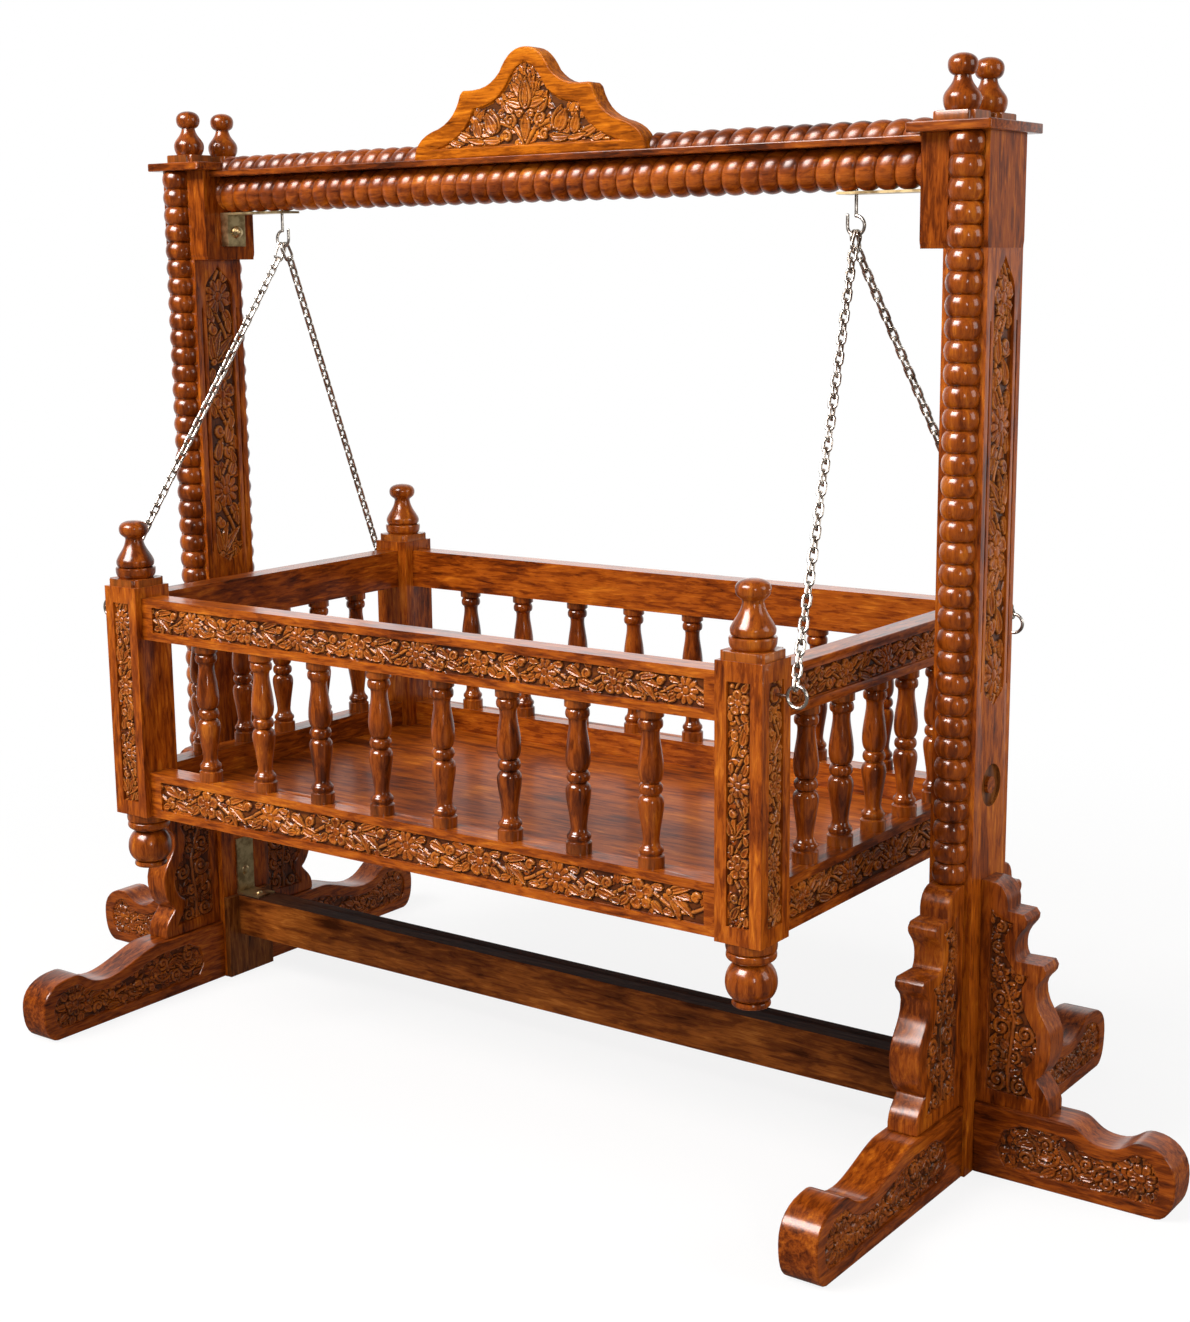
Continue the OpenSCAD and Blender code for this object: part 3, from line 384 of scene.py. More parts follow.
class Relief:
    """A carved field: heights over a grid, in millimetres, made of leaves, flowers, stems and scrolls.

    ground is how dark the painted shade on its low ground is, and the last argument how much its high edges
    are lightened, which is wear and painted highlight together.
    """

    def __init__(self, u0, u1, v0, v1, step=STEP, ground=0.8, rub_and_glint=1.0):
        self.step = step
        self.ground = ground
        self.rub_and_glint = rub_and_glint
        self.u = np.arange(u0, u1 + step / 2, step)
        self.v = np.arange(v0, v1 + step / 2, step)
        self.U, self.V = np.meshgrid(self.u, self.v)
        self.H = np.zeros(self.U.shape)

    def near(self, cu, cv, r):
        i0, i1 = np.searchsorted(self.u, (cu - r, cu + r))
        j0, j1 = np.searchsorted(self.v, (cv - r, cv + r))
        return (slice(j0, j1), slice(i0, i1))

    def around(self, cu, cv, r):
        """The grid's part round a point, and how far its points are from that point."""
        s = self.near(cu, cv, r)
        return s, np.hypot(self.U[s] - cu, self.V[s] - cv)

    def put(self, s, shape, height):
        self.H[s] = np.where(shape, np.maximum(self.H[s], height), self.H[s])

    def clear(self, cu, cv, r):
        s, d = self.around(cu, cv, r)
        self.H[s] = np.where(d < r, 0, self.H[s])

    def leaf(self, cu, cv, ang, length, width, h, bend, clear):
        """A leaf with a vein and, where it is wide, a cupped blade, in a clear rim of its own."""
        c, n = math.cos(ang), math.sin(ang)
        s = self.near(cu + c * length / 2, cv + n * length / 2, length * 0.75 + width)
        du, dv = self.U[s] - cu, self.V[s] - cv
        a = (du * c + dv * n) / length
        ac = np.clip(a, 0.0001, 0.9999)
        b = -du * n + dv * c - bend * length * ac * ac
        w = width * np.sin(math.pi * ac ** 0.7) ** 0.85 + 0.05
        q = np.abs(b) / w
        gap = (a > -clear / length) & (a < 1 + clear / length) & (np.abs(b) < w + clear)
        self.H[s] = np.where(gap, 0, self.H[s])
        body = dome(q, 0.5) * (1 - 0.42 * np.exp(-(b / (0.16 * width + 0.25)) ** 2))
        cup = min(max((width - 2.8) / 2, 0), 0.9)
        rim = 0.42 + 0.58 * np.exp(-((q - 0.74) / 0.2) ** 2) + 0.34 * np.exp(-(b / 0.8) ** 2)
        body = (1 - cup) * body + cup * np.clip(rim, 0, 1)
        self.put(s, (a > 0) & (a < 1) & (q < 1), h * body)

    def flower(self, cu, cv, r, petals, turn, clear):
        """Petals round a button. Large flowers of few petals have dished ones, each with a vein."""
        s = self.near(cu, cv, r + clear + 1)
        du, dv = self.U[s] - cu, self.V[s] - cv
        d = np.hypot(du, dv)
        th = np.arctan2(dv, du) - turn
        k = np.abs(np.cos(petals * th / 2))
        edge = r * (0.56 + 0.44 * k ** 0.55)
        self.H[s] = np.where(d < edge + clear, 0, self.H[s])
        t = np.clip(d / edge, 0, 1)
        body = (0.55 + 0.45 * np.sin(math.pi * t ** 0.9)) * (0.42 + 0.58 * k ** 0.6)
        if petals < 8 and r > 8:
            dish = np.maximum(np.exp(-((k - 0.62) / 0.22) ** 2), np.exp(-((t - 0.84) / 0.12) ** 2))
            body = (0.4 + 0.6 * dish) * (k > 0.12) + 0.25 * np.exp(-((1 - k) * 14) ** 2) * (t < 0.7)
        off = np.abs(((th * petals / (2 * math.pi)) + 0.5) % 1 - 0.5) * 2 * math.pi / petals * d
        body = body - 0.16 * np.exp(-(off / 0.7) ** 2) * (t > 0.3) * (t < 0.9)
        self.put(s, d < edge, TOP * np.clip(body, 0.3, 1))
        c = 0.27 * r
        self.H[s] = np.where((d > c) & (d < c + 0.9), 0.35 * TOP, self.H[s])
        self.put(s, d < c, TOP * dome(d / c, 0.6))

    def stroke(self, points, w0, w1, h, clear):
        """A round bar along points, from half width w0 to w1."""
        pts = np.array(points, float)
        seg = np.hypot(*np.diff(pts, axis=0).T)
        run = np.concatenate([[0], np.cumsum(seg)])
        n = max(2, int(run[-1] / (0.45 * self.step + 0.15 * min(w0, w1))))
        at = np.linspace(0, run[-1], n)
        px, py = np.interp(at, run, pts[:, 0]), np.interp(at, run, pts[:, 1])
        ws = np.linspace(w0, w1, n)
        for x, y, w in zip(px, py, ws):
            self.clear(x, y, w + clear)
        for x, y, w in zip(px, py, ws):
            s, d = self.around(x, y, w)
            self.put(s, d / w < 1, h * dome(d / w, 0.45))

    def scroll(self, cu, cv, r, start, turns, w, h=TOP, clear=1.0):
        t = np.linspace(0, 1, 60)
        rr = (r - w) * (1 - 0.82 * t)
        th = start + turns * 2 * math.pi * t
        self.stroke(np.stack([cu + rr * np.cos(th), cv + rr * np.sin(th)], 1), w, w * 0.55, h, clear)
        s, d = self.around(cu, cv, w)
        d = d / (w * 0.95)
        self.put(s, d < 1, h * dome(d, 0.6))

    def fill(self, poly, count, length, width, h=0.62 * TOP):
        """Small leaves all over the ground, under the main forms."""
        xs, ys = [p[0] for p in poly], [p[1] for p in poly]
        for _ in range(count):
            x, y = rng.uniform(min(xs), max(xs)), rng.uniform(min(ys), max(ys))
            a = rng.uniform(0, 2 * math.pi)
            k = rng.uniform(0.75, 1.25)
            if inside(poly, np.array([x]), np.array([y]))[0]:
                self.leaf(x, y, a, length * k, width * k, h * rng.uniform(0.8, 1.1),
                          rng.uniform(-0.4, 0.4), 0.7)

    def mesh(self, name, poly, origin, along, out):
        """The field inside poly, a little into the walls round it: u along, v up, its heights out."""
        keep = inside(poly, self.U, self.V)
        grow = keep.copy()
        grow[1:] |= keep[:-1]
        grow[:-1] |= keep[1:]
        grow[:, 1:] |= keep[:, :-1]
        grow[:, :-1] |= keep[:, 1:]
        h = np.clip(self.H, 0, TOP)
        pad = np.pad(h, 2, mode="edge")
        blur = sum(pad[2 + j:2 + j + h.shape[0], 2 + i:2 + i + h.shape[1]]
                   for i in range(-2, 3) for j in range(-2, 3)) / 25
        # Painted shade: dark on the low ground and in the creases beside the forms. Wear with a painted
        # highlight: lighter on the forms' high edges.
        low = np.clip(1 - h / (0.34 * TOP), 0, 1)
        crease = np.clip((blur - h) / (0.42 * TOP), 0, 1)
        dark = np.clip(self.ground * low + 0.8 * crease, 0, 0.95)
        rubbed_and_lit = self.rub_and_glint * np.clip((h - blur) / (0.3 * TOP) - 0.15, 0, 0.6) * (h > 0.5 * TOP)
        cells = grow[:-1, :-1] & grow[1:, :-1] & grow[:-1, 1:] & grow[1:, 1:]
        nv, nu = h.shape
        ids = np.arange(nv * nu).reshape(nv, nu)
        quads = np.stack([ids[:-1, :-1], ids[:-1, 1:], ids[1:, 1:], ids[1:, :-1]], -1)[cells]
        used, inv = np.unique(quads, return_inverse=True)
        quads = inv.reshape(quads.shape)
        flat = [a.ravel()[used] for a in (self.U, self.V, h, dark, rubbed_and_lit)]
        o, along, up, out = (np.array(a, float) for a in (origin, along, (0, 0, 1), out))
        if np.dot(np.cross(along, up), out) < 0:
            quads = quads[:, ::-1]
        co = o + flat[0][:, None] * along + flat[1][:, None] * up + (flat[2][:, None] + LIFT) * out
        me = bpy.data.meshes.new(name)
        me.vertices.add(len(co))
        me.vertices.foreach_set("co", (co * MM).astype(np.float32).ravel())
        me.loops.add(quads.size)
        me.loops.foreach_set("vertex_index", quads.astype(np.int32).ravel())
        me.polygons.add(len(quads))
        me.polygons.foreach_set("loop_start", np.arange(0, quads.size, 4, dtype=np.int32))
        me.update()
        # fine is how much of the material's painted shade in hollows and painted highlight on ridges this
        # mesh gets.
        for key, values in (("dark", flat[3]), ("rubbed_and_lit", flat[4]), ("fine", np.full(len(co), 0.6))):
            give(me, key, values)
        return me


def carve(name, rel, poly, origin, along, out, material, body):
    name = f"carving_{name}"
    return place(name, rel.mesh(name, poly, origin, along, out), material, body, (), 55.0)


def centred(length, width, *grid):
    """An empty relief about its middle, and its outline."""
    u, v = length / 2, width / 2
    return Relief(-u - MARGIN, u + MARGIN, -v - MARGIN, v + MARGIN, *grid), rect(u, v)


class Band:
    """A strip of a relief that runs along u or v, so that one design serves rails and posts."""

    def __init__(self, rel, along, centre):
        self.rel, self.along, self.centre = rel, along, centre

    def at(self, x, y):
        cx, cy = self.centre
        return (cx + x, cy + y) if self.along == "u" else (cx - y, cy + x)

    def turn(self, a):
        return a if self.along == "u" else a + math.pi / 2

    def leaf(self, x, y, a, length, width, bend):
        self.rel.leaf(*self.at(x, y), self.turn(a), length, width, TOP, bend, 1.0)

    def stem(self, points, w0, w1):
        self.rel.stroke([self.at(*p) for p in points], w0, w1, 0.8 * TOP, 1.0)

    def scroll(self, x, y, r, a, turns, w):
        self.rel.scroll(*self.at(x, y), r, self.turn(a), turns, w, TOP, 1.1)

    def bud(self, x, y, r):
        p = self.at(x, y)
        self.rel.stroke([p, (p[0] + 0.2, p[1] + 0.2)], r, r, TOP, 0.9)

    def flower(self, x, y, r, petals, turn):
        self.rel.flower(*self.at(x, y), r, petals, turn, 1.1)


def vine(rel, length, w, seed, along="u", centre=(0.0, 0.0)):
    """A running stem with daisies, five-petalled flowers, curled leaves and scrolls in its bays."""
    r = np.random.default_rng(seed)
    band = Band(rel, along, centre)
    count = max(1, round(length / (1.45 * w)))
    unit = length / count
    box = [band.at(*p) for p in rect(length / 2, w / 2)]
    rel.fill(box, int(length / w * 5), 0.5 * w, 0.12 * w, 0.55 * TOP)
    for i in range(count):
        x0 = -length / 2 + i * unit
        side = 1 if i % 2 else -1
        wave = [(x0 + unit * t, side * 0.27 * w * math.sin(math.pi * t)) for t in np.linspace(0, 1, 14)]
        band.stem(wave, 0.055 * w, 0.05 * w)
    for i in range(count):
        x0 = -length / 2 + i * unit
        side = 1 if i % 2 else -1
        mid = x0 + unit / 2
        kind = (i + seed) % 4
        jitter = r.uniform(-0.12, 0.12)
        if kind == 0:
            for q in (-1, 1):
                a = (0.5 - 0.5 * q) * math.pi - side * 0.75 * q + jitter
                band.leaf(mid + q * 0.40 * w, -0.14 * side * w, a, 0.56 * w, 0.16 * w, 0.3 * side * q)
            band.flower(mid, side * 0.03 * w, 0.48 * w, 10, jitter)
        elif kind == 1:
            band.scroll(mid - 0.26 * w, 0.20 * side * w, 0.27 * w, -1.2 * side, -1.25 * side, 0.078 * w)
            band.scroll(mid + 0.34 * w, -0.16 * side * w, 0.25 * w, 2.0 * side, 1.2 * side, 0.074 * w)
            band.leaf(mid - 0.02 * w, 0.08 * side * w, side * 0.55, 0.76 * w, 0.19 * w, -0.35 * side)
            band.leaf(mid - 0.50 * w, -0.26 * side * w, side * 0.1 + jitter, 0.66 * w, 0.17 * w, 0.3 * side)
        elif kind == 2:
            band.flower(mid, side * 0.02 * w, 0.49 * w, 5, 0.4 + jitter)
            for q in (-1, 1):
                a = (0.5 - 0.5 * q) * math.pi - side * 0.9 * q
                band.bud(mid + q * 0.58 * w, 0.30 * side * w, 0.085 * w)
                band.leaf(mid + q * 0.42 * w, -0.10 * side * w, a, 0.5 * w, 0.14 * w, 0.2 * side * q)
        else:
            for a in (0.95, 0.45, -0.05, -0.5):
                band.leaf(mid - 0.46 * w, -0.24 * side * w, side * a + jitter,
                          (1.02 - 0.2 * abs(a - 0.4)) * w, 0.14 * w, 0.25 * side)
            band.bud(mid - 0.46 * w, -0.26 * side * w, 0.10 * w)
            band.scroll(mid + 0.44 * w, -0.22 * side * w, 0.21 * w, 0.6, -1.2 * side, 0.07 * w)
        for h in (-0.32, 0.34):
            band.leaf(x0 + 0.06 * w, h * side * w, 0.2 * h + (0 if h > 0 else math.pi), 0.42 * w, 0.12 * w,
                      r.uniform(-0.3, 0.3))


# ---- turned pieces

PROFILES = {
    "spindle": path(
        (1, 0), (1, 0.07), (0.84, 0.08), (0.84, 0.09),
        ((0.98, 0.095), (0.98, 0.12), (0.8, 0.13)),
        ((0.62, 0.15), (0.6, 0.17), (0.66, 0.2)),
        ((0.72, 0.26), (0.98, 0.36), (0.98, 0.4)),
        ((0.98, 0.44), (0.8, 0.45), (0.63, 0.46)),
        ((0.99, 0.47), (0.99, 0.525), (0.63, 0.535)),
        ((0.8, 0.54), (0.96, 0.57), (0.96, 0.62)),
        ((0.96, 0.7), (0.68, 0.78), (0.67, 0.84)),
        ((0.67, 0.865), (0.72, 0.87), (0.78, 0.874)),
        ((0.98, 0.88), (0.98, 0.925), (0.8, 0.935)),
        (0.84, 0.94), (1, 0.95), (1, 1), steps=12),
    "bun": path(
        (0, 0), (0.6, 0), ((0.74, 0), (0.78, 0.04), (0.72, 0.09)), (0.62, 0.1),
        ((0.85, 0.14), (1, 0.24), (1, 0.36)), ((1, 0.5), (0.85, 0.6), (0.64, 0.66)),
        ((0.84, 0.7), (0.97, 0.72), (0.97, 0.77)), ((0.97, 0.83), (0.94, 0.83), (0.86, 0.84)),
        (0.97, 0.86), (0.99, 0.9), (0.99, 1), steps=12),
    "cradle_finial": path(
        (0.84, 0), ((0.98, 0.04), (1, 0.08), (1, 0.16)), (0.98, 0.18), (0.8, 0.19),
        ((0.94, 0.2), (0.96, 0.25), (0.94, 0.3)), ((0.82, 0.42), (0.5, 0.5), (0.44, 0.68)),
        (0.46, 0.7), ((0.6, 0.74), (0.74, 0.76), (0.74, 0.85)),
        ((0.74, 0.95), (0.46, 1), (0, 1)), steps=14),
    "stand_finial": path(
        (0.8, 0), ((0.95, 0.07), (1, 0.13), (1, 0.21)),
        ((1, 0.36), (0.5, 0.42), (0.44, 0.61)), ((0.66, 0.63), (0.79, 0.7), (0.79, 0.8)),
        ((0.79, 0.93), (0.46, 1), (0, 1)), steps=14)}


def lathe(profile, at, segs=40, turn=(0.0, 2 * math.pi)):
    """A turned piece about a vertical axis, or a part of its turn; profile in mm as (radius, height)."""
    a0, a1 = turn
    closed = abs(a1 - a0 - 2 * math.pi) < 1e-6
    n = segs if closed else segs + 1
    angles = a0 + (a1 - a0) * np.arange(n) / segs
    verts, faces, rings = [], [], []
    for r, z in profile:
        if r < 1e-6:
            rings.append([len(verts)])
            verts.append((0, 0, z))
        else:
            rings.append(list(range(len(verts), len(verts) + n)))
            verts += [(r * math.cos(a), r * math.sin(a), z) for a in angles]
    for lo, hi in zip(rings, rings[1:]):
        for k in range(segs):
            j = (k + 1) % n
            if len(lo) == 1:
                faces.append((lo[0], hi[j], hi[k]))
            elif len(hi) == 1:
                faces.append((lo[k], lo[j], hi[0]))
            else:
                faces.append((lo[k], lo[j], hi[j], hi[k]))
    if not closed:
        faces.append(tuple(r[0] for r in rings) + tuple(r[-1] for r in reversed(rings)))
    if len(rings[0]) > 1:
        faces.append(tuple(reversed(rings[0])))
    if len(rings[-1]) > 1:
        faces.append(tuple(rings[-1]))
    return np.array(verts, float) + np.array(at, float), faces


def from_profile(kind, r, h, at, segs=40):
    return lathe(stretch(PROFILES[kind], r, h), at, segs)


NOTCH = 0.12         # radius of a plate's corner notches, as a share of its side


def notched_plate(x, y, z, side, t, ease=1.0):
    """A square plate with a rounded notch in each corner and an eased top edge."""
    n = side * NOTCH
    pts = []
    for q in range(4):
        ca, sa = math.cos(q * math.pi / 2), math.sin(q * math.pi / 2)
        for k in range(7):
            a = k * math.pi / 12
            px, py = side / 2 - n * math.sin(a), side / 2 - n * math.cos(a)
            pts.append((px * ca - py * sa, px * sa + py * ca))
    rows = [(0, 0), (0, t - ease), (ease * 0.3, t - ease * 0.3), (ease, t)]
    verts, faces = [], []
    m = len(pts)
    for inset, h in rows:
        k = 1 - 2 * inset / side
        verts += [(x + px * k, y + py * k, z + h) for px, py in pts]
    for i in range(0, (len(rows) - 1) * m, m):
        for j in range(m):
            nxt = (j + 1) % m
            faces.append((i + j, i + nxt, i + m + nxt, i + m + j))
    faces.append(tuple(reversed(range(m))))
    faces.append(tuple(range((len(rows) - 1) * m, len(rows) * m)))
    return np.array(verts, float), faces


BEAD_POWER = 1.75    # 2 would make round beads
BEAD_STEPS = 14


def bulge(u):
    """Swell of a bead across its width, where u goes from -1 to 1."""
    return (1 - abs(u) ** BEAD_POWER) ** (1 / BEAD_POWER)


def beads(r, groove, length, count):
    prof = []
    for k in range(count):
        for i in range(1 if k else 0, BEAD_STEPS + 1):
            prof.append((groove + (r - groove) * bulge(2 * i / BEAD_STEPS - 1),
                         (k + i / BEAD_STEPS) * (length / count)))
    return prof


# ---- sizes, in millimetres

CORNER_X, CORNER_Y = 487.5, 273.0
RAIL_X, RAIL_Y = 490.5, 276.0
CORNER_TOP, CRADLE_Z = 645.0, 329.0
RAIL_T = 34.0
LONG_CLEAR, END_CLEAR = 915.0, 486.0
SPINDLE_Z, SPINDLE_H, SPINDLE_R = 391.0, 184.0, 15.4
POST_X, POST_T, POST_D = 616.0, 54.0, 90.0
CAP_TOP, HEAD_X, HEAD_IN = 1211.0, 602.0, 561.0
COLUMN_Z, HEAD_TOP = 359.0, 1200.0
BOARD_TOP, ROPE_Z = 1199.0, 1167.5
ROPE_R, ROPE_GROOVE_R, ROPE_FLAT, ROPE_LEAD = 26.0, 20.5, 23.5, 25.5
UPPER_ROPE_R, UPPER_GROOVE_R, CAP_OVER_X, FIT = 21.0, 16.0, 10.0, 0.2
BOBBIN_R, BOBBIN_GROOVE_R, BOBBINS = 21.5, 15.5, 34
FINIAL_Y, FINIAL_R, FINIAL_H, PLATE_S, PLATE_T = 33.0, 21.0, 61.0, 50.0, 11.0
TOP_FINIAL_R, TOP_FINIAL_H, TOP_PLATE_S, TOP_PLATE_T = 26.5, 77.0, 56.0, 10.0
BUN_R, BUN_H = 29.5, 77.0
CORNER_S, FIELD, FIELD_FOOT, FIELD_HEAD, RAIL_RIM = 60.0, 30.0, 20.0, 22.0, 11.0
EYE_Z, BOSS_R, BOSS_CLEAR = 608.0, 9.0, 13.0
RECESS_Z, RECESS_R = 468.0, 25.0
FOOT_H, FOOT_T, BRACKET_H, BRACKET_T = 88.0, 48.0, 271.0, 38.0
SIDE_FOOT, LONG_FOOT = 246.0, 344.0
SIDE_DIP, LONG_DIP = 70.0, 64.0
SIDE_BRACKET, LONG_BRACKET = 92.0, 110.0
SHOULDER = 20.0      # level top of a foot in front of its bracket
FOOT_RIM, ROOT_RIM = 16.0, 17.0      # rim round a foot's sunk field, and above it by the post
TIP, LOW = 0.83, 0.66        # a foot's toe and the lowest point of its dip, as shares of its reach
PANEL_W, PANEL_TOP, OUTER_PANEL_Z, INNER_PANEL_Z = 52.0, 1068.0, 562.0, 636.0
CREST_W, CREST_H, CREST_T, CREST_Y = 367.0, 132.0, 26.0, 17.0
ENDS = (("left", -1), ("right", 1))
FACES = (("front", -1), ("back", 1))
ALONG_X, ALONG_Y = (1, 0, 0), (0, 1, 0)
FINIAL_FINISH = {"figure": 0.5, "coat": 0.6, "haze": 0.14}
ROPE_FINISH = {"figure": 0.5, "coat": 0.6, "haze": 0.27}


# ---- cradle

def evenly(clear, count):
    return [clear * (i / (count + 1) - 0.5) for i in range(1, count + 1)]


def spindles(name, seed, spots):
    parts = [from_profile("spindle", SPINDLE_R, SPINDLE_H, (x, y, SPINDLE_Z)) for x, y in spots]
    turned(f"spindles_{name}", parts, timber("z", "rich", seed, figure=0.6, coat=0.8, haze=0.1))


for name, sy in FACES:
    spindles(name, 2, [(x, sy * RAIL_Y) for x in evenly(LONG_CLEAR, 8)])
spindles("ends", 4, [(sx * RAIL_X, y) for sx in (-1, 1) for y in evenly(END_CLEAR, 5)])

corners = [(sx * CORNER_X, sy * CORNER_Y) for sx in (-1, 1) for sy in (-1, 1)]
parts = [from_profile("bun", BUN_R, BUN_H, (x, y, CRADLE_Z - BUN_H), 56) for x, y in corners]
turned("bun_feet", parts, timber("z", "rich", 6, figure=0.6, coat=0.6, haze=0.14), 40)

parts = []
for x, y in corners:
    parts += [notched_plate(x, y, CORNER_TOP, TOP_PLATE_S, TOP_PLATE_T),
              from_profile("cradle_finial", TOP_FINIAL_R, TOP_FINIAL_H, (x, y, CORNER_TOP + TOP_PLATE_T), 56)]
turned("cradle_finials", parts, timber("z", "rich", 7, **FINIAL_FINISH), 40)

for k, (sname, sx) in enumerate(ENDS):
    for fname, sy in FACES:
        soften(f"corner_post_{fname}_{sname}", timber("z", "warm", 3 + k), 1.6)

# sides, clear length, distance from the middle, direction, wood, its finish, seed of the vine, painted shade
# of the carving's ground and its share of wear with painted highlight
RAILS = ((FACES, LONG_CLEAR, RAIL_Y, ALONG_X, ("x", "warm", 5), {}, 11, (0.72, 1.0)),
         # The end rails' carvings get a darker painted shade on their ground and less lightening of their
         # forms, for the shade inside the cradle.
         (ENDS, END_CLEAR, RAIL_X, ALONG_Y, ("y", "rich", 8), {"coat": 0.3}, 31, (0.85, 0.6)))
LEVELS = (("top", 575.0, 56.0), ("bottom", CRADLE_Z, 62.0))      # underside and height of the rails
for sides, _, _, _, (axis, tone, seed), finish, _, _ in RAILS:
    for k, (side, _) in enumerate(sides):
        for level, _, _ in LEVELS:
            soften(f"{level}_rail_{side}", timber(axis, tone, seed + k, **finish), 1.4)
for i, (level, z, h) in enumerate(LEVELS):
    for sides, clear, far, along, (axis, tone, seed), _, vine_seed, look in RAILS:
        length, width = clear - 40, h - 2 * RAIL_RIM
        for k, (side, s) in enumerate(sides):
            rel, poly = centred(length, width, FINE_STEP, *look)
            vine(rel, length, width, vine_seed + 2 * i + k)
            out = (s * along[1], s * along[0], 0)
            ground = far + RAIL_T / 2 - DEPTH
            carve(f"{level}_rail_{side}", rel, poly, (out[0] * ground, out[1] * ground, z + h / 2), along,
                  out, timber(axis, tone, seed + k), "cradle")

lo, hi = CRADLE_Z + FIELD_FOOT, CORNER_TOP - FIELD_HEAD
length, middle = hi - lo, (hi + lo) / 2
ground_x, ground_y = (c + CORNER_S / 2 - DEPTH for c in (CORNER_X, CORNER_Y))
for i, (sname, sx) in enumerate(ENDS):
    for j, (fname, sy) in enumerate(FACES):
        mat = timber("z", "warm", 3 + i)
        rel, poly = centred(FIELD, length, FINE_STEP, 0.5)
        vine(rel, length, FIELD, 51 + 2 * i + j, "v")
        carve(f"corner_{fname}_{sname}_face", rel, poly, (sx * CORNER_X, sy * ground_y, middle), ALONG_X,
              (0, sy, 0), mat, "cradle")
        rel, poly = centred(FIELD, length, FINE_STEP, 0.5)
        vine(rel, length, FIELD, 61 + 2 * i + j, "v")
        rel.clear(0, EYE_Z - middle, BOSS_CLEAR)
        s, d = rel.around(0, EYE_Z - middle, BOSS_R + 1)
        rel.put(s, d < BOSS_R, TOP * dome(d / BOSS_R, 0.55, 0.9))
        carve(f"corner_{fname}_{sname}_side", rel, poly, (sx * ground_x, sy * CORNER_Y, middle), ALONG_Y,
              (sx, 0, 0), mat, "cradle")

soften("cradle_floor", timber("x", "warm", 9, figure=0.6, gloss=0.45, coat=0.08), 0.6)


# ---- stand

LANCET = path((0.5, 0.05), (0.5, 0.92), ((0.5, 0.955), (0.2, 0.965), (0, 1)),
              ((-0.2, 0.965), (-0.5, 0.955), (-0.5, 0.92)), (-0.5, 0.05),
              ((-0.5, 0.02), (-0.2, 0.02), (0, 0)), ((0.2, 0.02), (0.5, 0.02), (0.5, 0.05)))


def in_recess(c, _):
    """Whether a face of a post belongs to the round recess in its outer side."""
    return (abs(c.y) < RECESS_R + 2 and abs(c.z - RECESS_Z) < RECESS_R + 3
            and POST_X + 10 < abs(c.x) < POST_X + POST_T / 2 - 1)


for k, (sname, sx) in enumerate(ENDS):
    post_mat = timber("z", "warm", 11 + k)
    post = soften(f"post_{sname}", post_mat, 1.5)
    # The recess's faces get the darker dusk wood: painted shade in the recess.
    retone(post, timber("z", "dusk", 12), in_recess)
    soften(f"head_block_{sname}", timber("z", "rich", 13 + k, coat=0.25, spec=0.05), 2.0)
    soften(f"base_block_{sname}", timber("z", "dusk", 1), 0.8)
    soften(f"cap_{sname}", timber("x", "rich", 15), 1.6)
    soften(f"foot_side_{sname}", timber("x", "rich", 17 + k), 2.2)
    soften(f"bracket_side_{sname}", timber("z", "rich", 19 + k), 2.0)
    for j, (fname, sy) in enumerate(FACES):
        soften(f"foot_{fname}_{sname}", timber("y", "rich", 21 + 2 * k + j), 2.2)
        soften(f"bracket_{fname}_{sname}", timber("z", "rich", 25 + 2 * k + j), 2.0)
        turn = (math.pi, 2 * math.pi) if sy < 0 else (0, math.pi)
        prof = beads(BOBBIN_R, BOBBIN_GROOVE_R, HEAD_TOP - COLUMN_Z, BOBBINS)
        turned(f"column_{fname}_{sname}", [lathe(prof, (sx * POST_X, sy * POST_D / 2, COLUMN_Z), 28, turn)],
               timber("z", "rich", 29 + j, figure=0.45, coat=0.65, haze=0.13))
    for side, out, z0, seed in (("outer", sx, OUTER_PANEL_Z, 71), ("inner", -sx, INNER_PANEL_Z, 75)):
        h = PANEL_TOP - z0
        rel = Relief(-PANEL_W / 2 - MARGIN, PANEL_W / 2 + MARGIN, -MARGIN, h + MARGIN)
        vine(rel, h * 0.98, PANEL_W, seed + k, "v", (0, h * 0.49))
        carve(f"post_{sname}_{side}", rel, stretch(LANCET, PANEL_W, h),
              (sx * POST_X + out * (POST_T / 2 - DEPTH), 0, z0), ALONG_Y, (out, 0, 0), post_mat, "stand")


def foot_panel(reach, dip, shoulder):
    """Outline of the sunk field in a foot's side, from the post out along its foot and back on top."""
    toe, tip, low, edge, inner = FOOT_H * 0.97, reach * TIP, reach * LOW, FOOT_RIM, reach * 0.12
    root = FOOT_H - ROOT_RIM
    return path((inner, 34), (inner + 12, edge), (reach - 30, edge),
                ((reach - edge - 3, 20), (reach - edge - 2, 42), (reach - 20, FOOT_H * 0.55)),
                ((reach - 26, toe - edge), (tip, toe - 12), (tip - 8, toe - edge)),
                ((tip - 24, dip - edge), (low, dip - edge), (low - 6, dip - edge)),
                ((low - 30, dip - edge), (shoulder + 16, root), (shoulder - 12, root)),
                (inner + 30, root), (inner + 8, FOOT_H - 28))


